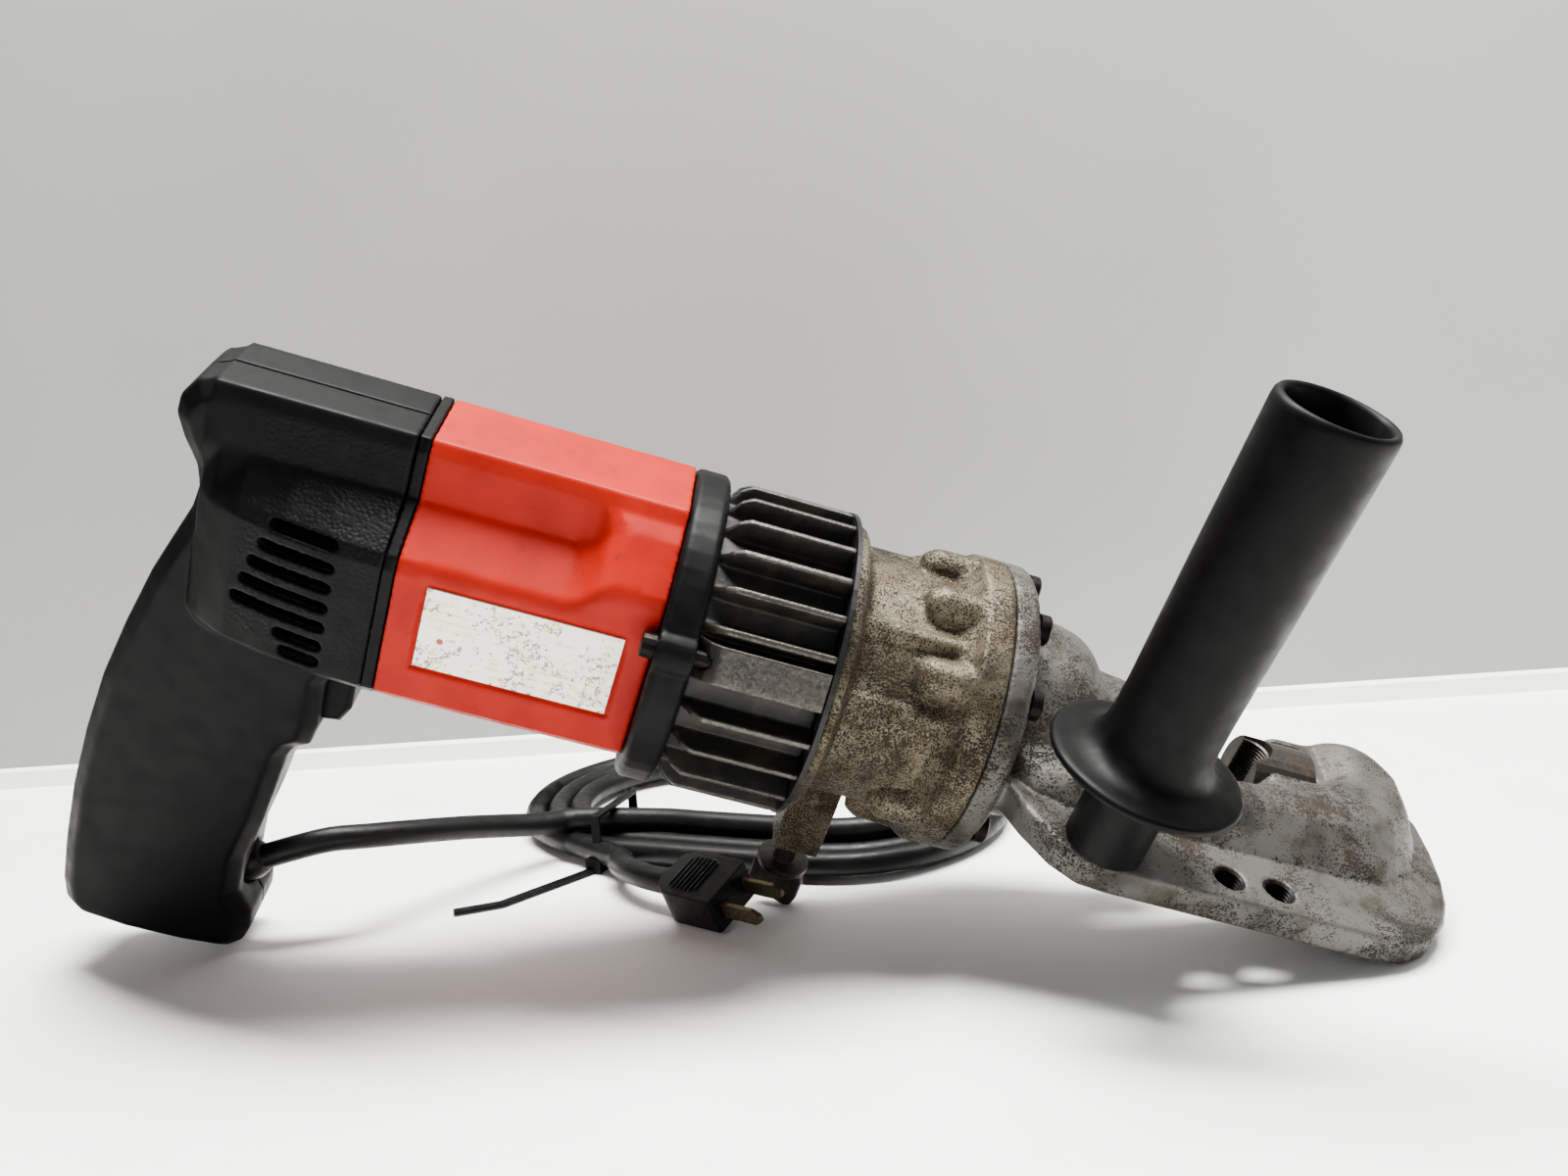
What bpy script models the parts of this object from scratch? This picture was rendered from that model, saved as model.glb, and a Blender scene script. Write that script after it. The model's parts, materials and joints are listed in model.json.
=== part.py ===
"""Portable electro-hydraulic rod cutter, modelled piece by piece.

Every length is in metres.  The tool frame has its origin on the motor axis, at the
rear face of the motor housing: +x runs forward to the cutting head, +z is up along
the flat spine of the housing, and -y is the tool's right side.  The whole tool is
then laid down on its three resting points, with the mains lead on the floor.
"""
import math

import bmesh
import bpy
import numpy as np
from mathutils import Matrix, Vector

MM = 0.001
GAP = 0.3 * MM

# Stations along the motor axis
HOUSING_LENGTH = 77.5 * MM
BRACKET_END = 89.0 * MM
CASE_END = 129.7 * MM
GASKET_END = 131.5 * MM
CYLINDER_END = 182.6 * MM
FLANGE_END = 191.5 * MM
GUIDE_END = 238.0 * MM
DIE_FACE = 283.0 * MM
BAND_DEPTH = 3.7 * MM

# Motor housing section
FACET_TOP = 49.2 * MM
FACET_HALF_WIDTH = 15.4 * MM
HOUSING_HALF_WIDTH = 38.0 * MM
HOUSING_KEEL = -40.0 * MM
MOTOR_BORE = 34.0 * MM

# Round castings
BRACKET_RADIUS = 51.0 * MM
CORE_RADIUS = 43.0 * MM
FIN_RADIUS = 50.5 * MM
FIN_THICKNESS = 2.0 * MM
CYLINDER_RADIUS = 40.0 * MM
CYLINDER_BORE = 30.2 * MM
FLANGE_RADIUS = 48.6 * MM
LUG_ANGLES = [math.radians(a) for a in (-68.0, 68.0, 180.0)]
LUG_RADIUS = 45.5 * MM
BOLT_ANGLES = [math.radians(a) for a in (-160.0, -119.0, -52.0, -17.0, 17.0, 52.0, 119.0, 160.0)]
BOLT_CIRCLE = 42.5 * MM

# Cutting head
RIM_Y = -75.5 * MM
RIM_HALF_THICKNESS = 5.2 * MM
WEB_HOLE_Y = -65.5 * MM
WEB_HOLES_X = (219.0 * MM, 260.0 * MM, 276.5 * MM)
WEB_HOLE_RADIUS = 5.0 * MM
DIE_RADIUS = 14.0 * MM
DIE_LENGTH = 22.0 * MM
ROD_RADIUS = 7.0 * MM
RAM_RADIUS = 14.2 * MM
PISTON_STROKE = 20.0 * MM

# Side handle
TUBE_RADIUS = 15.5 * MM
TUBE_END_RADIUS = 16.8 * MM
TUBE_WALL = 3.2 * MM
GUARD_RADIUS = 29.0 * MM
GUARD_Z = 36.0 * MM
HANDLE_TOP = 150.0 * MM
NECK_RADIUS = 12.0 * MM

# Grip and trigger
GRIP_HALF_WIDTH = 17.5 * MM
SHELL_WALL = 3.0 * MM
TRIGGER_TRAVEL = 6.0 * MM
CORD_HOLE_Z = -141.5 * MM
CORD_RISE = math.radians(33.7)

# Motor and pump
SHAFT_RADIUS = 4.0 * MM
GEAR_CENTRES = 18.6 * MM
THROW = 1.5 * MM

# Release key under the cylinder
KEY_X = 146.5 * MM
LUG_BOTTOM = -73.5 * MM
KEY_BOTTOM = -100.6 * MM
KEY_TURN = math.radians(-25.0)

# How the tool lies: nose down by TILT, leaning to its right by LEAN, its origin at PLACE
TILT = math.radians(20.749)
LEAN = math.radians(20.898)
PLACE = (-89.2 * MM, 25.88 * MM, 143.01 * MM)

# Mains lead, in the world: one stretch in the air, four turns on the floor and a short tail
CORD_RADIUS = 4.7 * MM
SLEEVE_FRONT = 4.0 * MM
LEAD_ROUTE = [(-164.0, 75.5, 32.5), (-152.6, 73.6, 35.2), (-140.7, 74.5, 36.6), (-129.6, 78.2, 35.2),
              (-114.5, 88.2, 31.6), (-97.5, 102.4, 26.3), (-84.0, 114.4, 21.3), (-75.0, 121.3, 18.3),
              (-67.2, 126.5, 16.6)]
TAIL_ROUTE = [(-41.5, 104.0, 7.4), (-39.8, 92.0, 9.4), (-35.6, 80.0, 10.8), (-29.0, 70.4, 11.3),
              (-21.8, 63.3, 11.4)]
COIL_CENTRES = ((-16.2 * MM, 171.3 * MM), (54.8 * MM, 134.7 * MM))
COIL_RADIUS = 52.0 * MM
COIL_HALF_WIDTH = 14.2 * MM
COIL_Z = (1.9 * MM, 20.7 * MM)
PLUG_REAR = (-21.4 * MM, 62.9 * MM, 11.4 * MM)
PLUG_TURN = (math.radians(21.9), math.radians(-1.3), math.radians(-44.3))
PLUG_LENGTH = 31.7 * MM

MATERIALS = {
    "orange_plastic": ((0.78, 0.07, 0.02), 0.42, 0.0),
    "black_plastic": ((0.018, 0.018, 0.020), 0.55, 0.0),
    "cast_metal": ((0.30, 0.28, 0.25), 0.62, 0.7),
    "finned_metal": ((0.10, 0.10, 0.09), 0.55, 0.7),
    "bracket_metal": ((0.03, 0.03, 0.03), 0.50, 0.2),
    "tool_steel": ((0.33, 0.31, 0.29), 0.38, 1.0),
    "screw_steel": ((0.02, 0.02, 0.02), 0.45, 0.6),
    "laminations": ((0.22, 0.22, 0.23), 0.55, 0.9),
    "copper": ((0.62, 0.28, 0.12), 0.35, 1.0),
    "bright_steel": ((0.55, 0.55, 0.55), 0.30, 1.0),
    "brass": ((0.65, 0.47, 0.18), 0.35, 1.0),
    "carbon": ((0.03, 0.03, 0.03), 0.70, 0.0),
    "oil_rubber": ((0.02, 0.02, 0.02), 0.75, 0.0),
    "cord_rubber": ((0.012, 0.012, 0.013), 0.50, 0.0),
    "white_plate": ((0.80, 0.80, 0.76), 0.45, 0.0),
}


# ---------------------------------------------------------------- helpers

def clear_scene():
    for obj in list(bpy.data.objects):
        bpy.data.objects.remove(obj, do_unlink=True)


def material(name):
    found = bpy.data.materials.get(name)
    if found:
        return found
    colour, roughness, metallic = MATERIALS[name]
    made = bpy.data.materials.new(name)
    made.use_nodes = True
    shader = made.node_tree.nodes["Principled BSDF"]
    shader.inputs["Base Color"].default_value = (*colour, 1.0)
    shader.inputs["Roughness"].default_value = roughness
    shader.inputs["Metallic"].default_value = metallic
    return made


def solid(points, faces):
    """A bmesh of the given points and faces, with its faces turned outward."""
    bm = bmesh.new()
    verts = [bm.verts.new(p) for p in points]
    for face in faces:
        bm.faces.new([verts[i] for i in face])
    bmesh.ops.remove_doubles(bm, verts=bm.verts, dist=1e-7)
    bmesh.ops.recalc_face_normals(bm, faces=bm.faces)
    return bm


def loft(sections):
    """A closed solid through rings of points that all have the same count."""
    count = len(sections[0])
    points = [p for section in sections for p in section]
    faces = [list(range(count))[::-1]]
    faces.append([(len(sections) - 1) * count + i for i in range(count)])
    for k in range(len(sections) - 1):
        for i in range(count):
            j = (i + 1) % count
            faces.append([k * count + i, k * count + j, (k + 1) * count + j, (k + 1) * count + i])
    return solid(points, faces)


def ring_solid(profile, steps, axis_point=(0.0, 0.0)):
    """A closed (x, radius) outline turned about a line along x through axis_point (y, z)."""
    count = len(profile)
    points = []
    faces = []
    for k in range(steps):
        turn = 2.0 * math.pi * k / steps
        for x, r in profile:
            points.append((x, axis_point[0] - r * math.sin(turn), axis_point[1] + r * math.cos(turn)))
    for k in range(steps):
        nxt = (k + 1) % steps
        for i in range(count):
            j = (i + 1) % count
            faces.append([k * count + i, k * count + j, nxt * count + j, nxt * count + i])
    return solid(points, faces)


def turned(profile, steps, axis_point=(0.0, 0.0)):
    """An (x, radius) outer line turned about x and closed by flat end faces."""
    rings = []
    for x, r in profile:
        ring = []
        for k in range(steps):
            turn = 2.0 * math.pi * k / steps
            ring.append((x, axis_point[0] - r * math.sin(turn), axis_point[1] + r * math.cos(turn)))
        rings.append(ring)
    return loft(rings)


def standing(profile, steps, x, y):
    """A (z, radius) outer line turned about a line along z through (x, y)."""
    rings = []
    for z, r in profile:
        turns = [2.0 * math.pi * k / steps for k in range(steps)]
        rings.append([(x + r * math.cos(t), y + r * math.sin(t), z) for t in turns])
    return loft(rings)


def block(x0, x1, y0, y1, z0, z1):
    ring = [(y0, z0), (y1, z0), (y1, z1), (y0, z1)]
    return loft([[(x, y, z) for y, z in ring] for x in (x0, x1)])


def inset(outline, amount):
    """The outline moved inward by amount, corner by corner."""
    area = sum(a[0] * b[1] - b[0] * a[1] for a, b in zip(outline, outline[1:] + outline[:1]))
    side = 1.0 if area > 0 else -1.0
    moved = []
    for k, (px, py) in enumerate(outline):
        ax, ay = outline[k - 1]
        bx, by = outline[(k + 1) % len(outline)]
        before = Vector((px - ax, py - ay)).normalized()
        after = Vector((bx - px, by - py)).normalized()
        normal = Vector((-(before.y + after.y), before.x + after.x)).normalized() * side
        spread = max(0.5, normal.dot(Vector((-before.y, before.x)) * side))
        moved.append((px + normal.x * amount / spread, py + normal.y * amount / spread))
    return moved


def slab(outline, low, high, chamfer=0.0, plane="xy"):
    """An outline extruded from low to high, with both rims chamfered."""
    def place(p, h):
        return (p[0], p[1], h) if plane == "xy" else (p[0], h, p[1])
    if chamfer == 0.0:
        return loft([[place(p, h) for p in outline] for h in (low, high)])
    small = inset(outline, chamfer)
    levels = [(small, low), (outline, low + chamfer), (outline, high - chamfer), (small, high)]
    return loft([[place(p, h) for p in ring] for ring, h in levels])


def temp_object(bm):
    mesh = bpy.data.meshes.new("temp")
    bm.to_mesh(mesh)
    bm.free()
    obj = bpy.data.objects.new("temp", mesh)
    bpy.context.scene.collection.objects.link(obj)
    return obj


def combine(base, operation, *tools):
    """The base bmesh joined with, or cut by, each tool in turn."""
    target = temp_object(base)
    for tool in tools:
        helper = temp_object(tool)
        step = target.modifiers.new("step", "BOOLEAN")
        step.operation = operation
        step.solver = "EXACT"
        step.object = helper
        bpy.context.view_layer.update()
        graph = bpy.context.evaluated_depsgraph_get()
        result = bpy.data.meshes.new_from_object(target.evaluated_get(graph))
        target.modifiers.clear()
        target.data = result
        bpy.data.objects.remove(helper, do_unlink=True)
    merged = bmesh.new()
    merged.from_mesh(target.data)
    bpy.data.objects.remove(target, do_unlink=True)
    bmesh.ops.remove_doubles(merged, verts=merged.verts, dist=2e-6)
    return merged


def join(base, *tools):
    return combine(base, "UNION", *tools)


def cut(base, *tools):
    return combine(base, "DIFFERENCE", *tools)


def piece(name, bm, look, at=(0.0, 0.0, 0.0), parent=None, smooth=True):
    """A named object in the tool frame, its origin at the given point."""
    bmesh.ops.translate(bm, verts=bm.verts, vec=-Vector(at))
    mesh = bpy.data.meshes.new(name)
    bm.to_mesh(mesh)
    bm.free()
    mesh.materials.append(material(look))
    if smooth:
        mesh.shade_smooth()
        mesh.set_sharp_from_angle(angle=math.radians(32.0))
    obj = bpy.data.objects.new(name, mesh)
    obj.location = at
    obj.parent = parent
    bpy.context.scene.collection.objects.link(obj)
    return obj


def around(radius, angle):
    """The (y, z) point at an angle from straight up, toward the right side."""
    return (-radius * math.sin(angle), radius * math.cos(angle))


def smooth_route(points, spacing):
    """Points at an even spacing along a Catmull-Rom curve through the route."""
    route = [np.array(p) for p in points]
    ends = [2 * route[0] - route[1]] + route + [2 * route[-1] - route[-2]]
    dense = []
    for k in range(1, len(ends) - 2):
        a, b, c, d = ends[k - 1:k + 3]
        for t in np.linspace(0.0, 1.0, 24, endpoint=False):
            dense.append(0.5 * (2 * b + (c - a) * t + (2 * a - 5 * b + 4 * c - d) * t ** 2
                                + (3 * b - a - 3 * c + d) * t ** 3))
    dense.append(route[-1])
    steps = [0.0]
    for a, b in zip(dense, dense[1:]):
        steps.append(steps[-1] + float(np.linalg.norm(b - a)))
    count = max(2, int(round(steps[-1] / spacing)))
    wanted = np.linspace(0.0, steps[-1], count + 1)
    table = np.array(dense)
    return [tuple(np.interp(w, steps, table[:, i]) for i in range(3)) for w in wanted]


def tube(name, points, radius, look):
    """A cord as a bevelled curve with filled caps."""
    curve = bpy.data.curves.new(name, "CURVE")
    curve.dimensions = "3D"
    curve.bevel_depth = radius
    curve.bevel_resolution = 2
    curve.use_fill_caps = True
    curve.render_resolution_u = 0
    spline = curve.splines.new("POLY")
    spline.points.add(len(points) - 1)
    for slot, p in zip(spline.points, points):
        slot.co = (*p, 1.0)
    curve.materials.append(material(look))
    obj = bpy.data.objects.new(name, curve)
    bpy.context.scene.collection.objects.link(obj)
    return obj


# ---------------------------------------------------------------- motor housing

def housing_section(x, scoop, half_width=HOUSING_HALF_WIDTH, wall=0.0, keel=HOUSING_KEEL):
    """The housing's outline at x.  scoop 1 is the hollowed shoulder, 0 the full one."""
    def blend(full, hollow):
        return full + (hollow - full) * scoop
    w = half_width - wall
    top = FACET_TOP - wall
    flat = FACET_HALF_WIDTH - 0.6 * wall
    side = [
        (flat, top),
        (blend(18.5, 17.5) * MM - 0.7 * wall, 45.0 * MM - 0.7 * wall),
        (blend(24.0, 19.5) * MM - wall, blend(41.5, 31.0) * MM - wall),
        (w - 1.5 * MM, blend(29.5, 20.0) * MM - 0.6 * wall),
        (w, blend(26.0, 16.0) * MM - 0.6 * wall),
        (w, -26.0 * MM),
        (w - 3.0 * MM, -29.5 * MM + 0.4 * wall),
        (w * 0.55, -36.5 * MM + wall),
        (w * 0.22, keel + wall),
    ]
    right = [(x, -y, z) for y, z in side]
    left = [(x, y, z) for y, z in reversed(side)]
    return right + left


def make_motor_housing(frame):
    end = HOUSING_LENGTH - 0.5 * GAP
    stations = [(0.5 * GAP, 1.0), (48 * MM, 1.0), (53 * MM, 0.75), (57 * MM, 0.25), (61 * MM, 0.0), (end, 0.0)]
    shell = loft([housing_section(x, scoop) for x, scoop in stations])
    bore = turned([(-5 * MM, MOTOR_BORE), (HOUSING_LENGTH + 5 * MM, MOTOR_BORE)], 40)
    pocket = block(8.5 * MM, 70.3 * MM, -HOUSING_HALF_WIDTH - 1 * MM, -HOUSING_HALF_WIDTH + 1.2 * MM,
                   -15.5 * MM, 15.0 * MM)
    piece("motor_housing", cut(shell, bore, pocket), "orange_plastic", parent=frame)
    plate = block(10.0 * MM, 68.8 * MM, -HOUSING_HALF_WIDTH + 0.2 * MM, -HOUSING_HALF_WIDTH + 0.9 * MM,
                  -14.0 * MM, 13.6 * MM)
    piece("rating_plate", plate, "white_plate", parent=frame, smooth=False)


def make_motor(frame):
    piece("stator", ring_solid([(20 * MM, 19.5 * MM), (20 * MM, 33.6 * MM), (58 * MM, 33.6 * MM),
                                (58 * MM, 19.5 * MM)], 32), "laminations", parent=frame)
    bore = SHAFT_RADIUS + GAP
    armature = [
        ("armature_core", 20, 58, 18.8, "laminations"),
        ("commutator", 2.5, 15, 11.0, "copper"),
    ]
    for name, x0, x1, radius, look in armature:
        profile = [(x0 * MM, bore), (x0 * MM, radius * MM), (x1 * MM, radius * MM), (x1 * MM, bore)]
        piece(name, ring_solid(profile, 24), look, parent=frame)
    shaft = turned([(-11 * MM, 3.4 * MM), (-11 * MM, SHAFT_RADIUS), (98 * MM, SHAFT_RADIUS), (98 * MM, 3.0 * MM)], 16)
    piece("armature_shaft", shaft, "bright_steel", parent=frame)
    piece("cooling_fan", fan_solid(bore), "black_plastic", parent=frame)
    for name, x0, x1, outer in (("rear_bearing", -10.5, -4.5, 11.0), ("front_bearing", 79.5, 87.0, 13.0)):
        profile = [(x0 * MM, bore), (x0 * MM, outer * MM), (x1 * MM, outer * MM), (x1 * MM, bore)]
        piece(name, ring_solid(profile, 24), "bright_steel", parent=frame)
    for side, word in ((1.0, "left"), (-1.0, "right")):
        y0, y1 = sorted((side * 11.6 * MM, side * 20.0 * MM))
        piece("carbon_brush_" + word, block(5 * MM, 12 * MM, y0, y1, -3 * MM, 3 * MM), "carbon", parent=frame,
              smooth=False)
        y0, y1 = sorted((side * 14.0 * MM, side * 30.0 * MM))
        holder = block(2.5 * MM, 14.5 * MM, y0, y1, -5.5 * MM, 5.5 * MM)
        y0, y1 = sorted((side * 10.0 * MM, side * 20.5 * MM))
        slot = block(4.7 * MM, 12.3 * MM, y0, y1, -3.3 * MM, 3.3 * MM)
        piece("brush_holder_" + word, cut(holder, slot), "brass", parent=frame, smooth=False)


def fan_solid(bore):
    """A hub with straight blades, as one star-shaped outline along x."""
    blades = 12
    outline = []
    for k in range(blades):
        turn = 2.0 * math.pi * k / blades
        for offset, radius in ((-0.20, 11.0), (-0.05, 30.0), (0.05, 30.0), (0.20, 11.0)):
            outline.append((radius * MM, turn + offset * 2.0 * math.pi / blades * 1.6))
    rings = [[(x * MM, *around(r, a)) for r, a in outline] for x in (63.0, 73.0)]
    return cut(loft(rings), turned([(60 * MM, bore), (76 * MM, bore)], 16))


# ---------------------------------------------------------------- brackets and castings

def make_rear_bracket(frame):
    """The thin black band between handle and housing; its boss carries the rear bearing."""
    x0 = -BAND_DEPTH + 0.5 * GAP
    plate = loft([housing_section(x, 1.0) for x in (x0, -0.5 * GAP)])
    boss = turned([(-12 * MM, 15 * MM), (x0 + 1.0 * MM, 15 * MM)], 28)
    seat = turned([(-20 * MM, 11.3 * MM), (5 * MM, 11.3 * MM)], 28)
    windows = []
    for angle in (45, 135, 225, 315):
        y, z = around(25 * MM, math.radians(angle))
        windows.append(turned([(-8 * MM, 6 * MM), (4 * MM, 6 * MM)], 12, (y, z)))
    piece("rear_bracket", cut(join(plate, boss), seat, *windows), "black_plastic", parent=frame)


def make_front_bracket(frame):
    x0 = HOUSING_LENGTH + 0.5 * GAP
    x1 = BRACKET_END
    disc = turned([(x0, BRACKET_RADIUS - 1.5 * MM), (x0 + 1.5 * MM, BRACKET_RADIUS), (x1 - 1.5 * MM, BRACKET_RADIUS),
                   (x1, BRACKET_RADIUS - 1.5 * MM)], 56)
    lugs = [turned([(x0, 7.0 * MM), (x1, 7.0 * MM)], 20, around(LUG_RADIUS + 1.5 * MM, a)) for a in LUG_ANGLES]
    seat = turned([(x0 - MM, 13.3 * MM), (x1 + MM, 13.3 * MM)], 28)
    holes = [turned([(x0 - MM, 2.9 * MM), (x1 + MM, 2.9 * MM)], 12, around(LUG_RADIUS + 0.4 * MM, a))
             for a in LUG_ANGLES]
    piece("front_bracket", cut(join(disc, *lugs), seat, *holes), "bracket_metal", parent=frame)
    for number, angle in enumerate(LUG_ANGLES, 1):
        centre = around(LUG_RADIUS + 0.4 * MM, angle)
        screw = turned([(x0 - 4.6 * MM, 3.1 * MM), (x0 - 4.3 * MM, 3.8 * MM), (x0 - GAP, 3.8 * MM),
                        (x0 - GAP, 2.5 * MM), (x1 + 9 * MM, 2.5 * MM)], 14, centre)
        piece("bracket_screw_%d" % number, screw, "screw_steel", parent=frame)


def fin_outline(root, tip):
    """One turn of the finned wall: square-ended fins on a round core, with wide pads at the lugs."""
    side_fins = [88.0 + 15.0 * k for k in range(6)]
    fins = [56.0 - 14.5 * k for k in range(8)] + side_fins + [-a for a in side_fins]
    spots = [(math.radians(a), 0.5 * FIN_THICKNESS) for a in fins] + [(a, 6.0 * MM) for a in LUG_ANGLES]
    outline = []
    for centre, half_width in sorted(spots):
        half = half_width / tip
        outline.append((root, centre - half - 0.02))
        outline.append((tip, centre - half))
        outline.append((tip, centre + half))
        outline.append((root, centre + half + 0.02))
    return outline


def make_pump_case(frame):
    """The finned case: the fins' rear ends run down into the core."""
    x0 = BRACKET_END + GAP
    x1 = CASE_END
    stations = [(x0, CORE_RADIUS + 0.6 * MM), (x0 + 2.0 * MM, CORE_RADIUS + 3.0 * MM),
                (x0 + 3.6 * MM, FIN_RADIUS - 2.0 * MM), (x0 + 7.0 * MM, FIN_RADIUS), (x1, FIN_RADIUS)]
    rings = []
    for x, tip in stations:
        rings.append([(x, *around(r, a)) for r, a in fin_outline(CORE_RADIUS, tip)])
    bore = turned([(x0 - 5 * MM, 37 * MM), (x1 + 5 * MM, 37 * MM)], 40)
    holes = [turned([(x0 - 2 * MM, 2.9 * MM), (x0 + 10 * MM, 2.9 * MM)], 12, around(LUG_RADIUS + 0.4 * MM, a))
             for a in LUG_ANGLES]
    piece("pump_case", cut(loft(rings), bore, *holes), "finned_metal", parent=frame)
    profile = [(CASE_END + GAP, 37.5 * MM), (CASE_END + GAP, FIN_RADIUS), (GASKET_END, FIN_RADIUS),
               (GASKET_END, 37.5 * MM)]
    piece("case_gasket", ring_solid(profile, 48), "oil_rubber", parent=frame)


def make_cylinder_housing(frame):
    x0 = GASKET_END + GAP
    x1 = CYLINDER_END
    body = turned([(x0, 47 * MM), (x0 + 3.5 * MM, 47 * MM), (x0 + 6.0 * MM, CYLINDER_RADIUS),
                   (x1 - 16 * MM, CYLINDER_RADIUS), (x1 - 11 * MM, 45 * MM), (x1 - 9 * MM, FLANGE_RADIUS),
                   (x1, FLANGE_RADIUS)], 48)
    bosses = []
    for angle in BOLT_ANGLES:
        bosses.append(turned([(x1 - 27 * MM, 4.0 * MM), (x1 - 23 * MM, 6.5 * MM), (x1 - 5 * MM, 7.0 * MM)], 12,
                             around(BOLT_CIRCLE - 1.5 * MM, angle)))
    ribs = []
    for degrees in (36.0, 70.0, -36.0, -70.0):
        y, z = around(CYLINDER_RADIUS - 1.0 * MM, math.radians(degrees))
        ribs.append(turned([(x0 + 2 * MM, 3.6 * MM), (x1 - 5 * MM, 3.6 * MM)], 8, (y, z)))
    lug = block(139.5 * MM, 156 * MM, -7.5 * MM, 7.5 * MM, LUG_BOTTOM, -34 * MM)
    bore = turned([(143 * MM, CYLINDER_BORE), (x1 + 5 * MM, CYLINDER_BORE)], 40)
    port = standing([(LUG_BOTTOM - MM, 4.5 * MM), (-62 * MM, 4.5 * MM)], 16, KEY_X, 0.0)
    holes = [turned([(x1 - 14 * MM, 3.5 * MM), (x1 + 5 * MM, 3.5 * MM)], 8, around(BOLT_CIRCLE, a))
             for a in BOLT_ANGLES]
    piece("cylinder_housing", cut(join(body, *bosses, *ribs, lug), bore, port, *holes), "cast_metal", parent=frame)


# ---------------------------------------------------------------- cutting head

def arc(cx, cy, radius, start, stop, steps):
    turns = [math.radians(start + (stop - start) * k / steps) for k in range(steps + 1)]
    return [(cx + radius * math.cos(t), cy + radius * math.sin(t)) for t in turns]


def head_outline(nose, throat_side):
    """The C of the head in plan: rim side, nose, hook, die seat and throat, from the flange round."""
    outline = [(FLANGE_END - 2 * MM, 20 * MM)]
    outline += nose
    outline += arc(326 * MM, 1 * MM, 17 * MM, 20, 90, 4)
    outline += [(297 * MM, 18 * MM), (DIE_FACE + 4 * MM, 10 * MM)]
    outline += arc(DIE_FACE - 10 * MM, throat_side + 12 * MM, 12 * MM, 0, -90, 4)
    outline += arc(GUIDE_END + 10 * MM, throat_side + 10 * MM, 10 * MM, -90, -180, 4)
    outline += [(GUIDE_END, 12 * MM)]
    return outline


def make_head_frame(frame):
    x0 = CYLINDER_END + GAP
    flange = turned([(x0, FLANGE_RADIUS), (FLANGE_END - 2 * MM, FLANGE_RADIUS), (FLANGE_END, FLANGE_RADIUS - 2 * MM)],
                    48)
    dome = turned([(x0 + MM, 36 * MM), (FLANGE_END + 2 * MM, 34.5 * MM), (209 * MM, 33.5 * MM), (216 * MM, 31.5 * MM),
                   (221 * MM, 27.5 * MM), (223.5 * MM, 22.5 * MM), (GUIDE_END, 21.5 * MM)], 40)
    rim_nose = [(189, -42), (197, -58), (205, -69), (213, -74.5), (222, -75.5), (308, -75.5), (319, -74),
                (328, -68.5), (335, -60), (340, -50), (343.5, -38), (345.5, -24), (346, -10)]
    core_nose = [(189, -36), (200, -48), (215, -51.5), (300, -51), (318, -48), (331, -38), (338, -24), (340.5, -8)]
    rim = slab(head_outline([(x * MM, y * MM) for x, y in rim_nose], -22 * MM),
               -RIM_HALF_THICKNESS, RIM_HALF_THICKNESS, 1.2 * MM)
    core = slab(head_outline([(x * MM, y * MM) for x, y in core_nose], -20 * MM), -11 * MM, 11 * MM, 4.0 * MM)
    ridge_outline = [(198, -18), (200, -36), (214, -46), (250, -47), (300, -45), (322, -38), (336, -20), (338, -2),
                     (334, 10), (326, 16), (312, 17), (310, -8), (296, -20), (250, -28), (225, -20)]
    ridge = slab([(x * MM, y * MM) for x, y in ridge_outline], -18 * MM, 18 * MM, 6.0 * MM)
    bore = turned([(x0 - 5 * MM, RAM_RADIUS + GAP), (GUIDE_END + 5 * MM, RAM_RADIUS + GAP)], 32)
    spring_room = turned([(x0 - 5 * MM, 24 * MM), (210 * MM, 24 * MM)], 32)
    seat = turned([(DIE_FACE - 14 * MM, DIE_RADIUS + GAP), (DIE_FACE + DIE_LENGTH + GAP, DIE_RADIUS + GAP)], 28)
    seat_mouth = slab([(DIE_FACE - 4 * MM, 0.0), (DIE_FACE - 4 * MM, 30 * MM), (DIE_FACE + DIE_LENGTH + GAP, 30 * MM),
                       (DIE_FACE + DIE_LENGTH + GAP, 0.0)], -8 * MM, 8 * MM)
    web_holes = [standing([(-15 * MM, WEB_HOLE_RADIUS), (15 * MM, WEB_HOLE_RADIUS)], 20, x, WEB_HOLE_Y)
                 for x in WEB_HOLES_X]
    bolt_holes = [turned([(x0 - 5 * MM, 3.5 * MM), (FLANGE_END + 20 * MM, 3.5 * MM)], 8, around(BOLT_CIRCLE, a))
                  for a in BOLT_ANGLES]
    spot_faces = [turned([(FLANGE_END - 0.2 * MM, 6.2 * MM), (FLANGE_END + 16 * MM, 6.2 * MM)], 12,
                         around(BOLT_CIRCLE, a)) for a in BOLT_ANGLES]
    body = join(flange, dome, rim, core, ridge)
    body = cut(body, bore, spring_room, seat, seat_mouth, *web_holes, *bolt_holes, *spot_faces)
    piece("head_frame", body, "cast_metal", parent=frame)


def make_head_screws(frame):
    for number, angle in enumerate(BOLT_ANGLES, 1):
        centre = around(BOLT_CIRCLE, angle)
        head = FLANGE_END + 0.1 * MM
        screw = turned([(172 * MM, 3.0 * MM), (head, 3.0 * MM), (head, 4.9 * MM), (head + 3.3 * MM, 4.9 * MM),
                        (head + 3.8 * MM, 4.4 * MM)], 12, centre)
        piece("head_screw_%d" % number, screw, "screw_steel", parent=frame)


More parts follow.
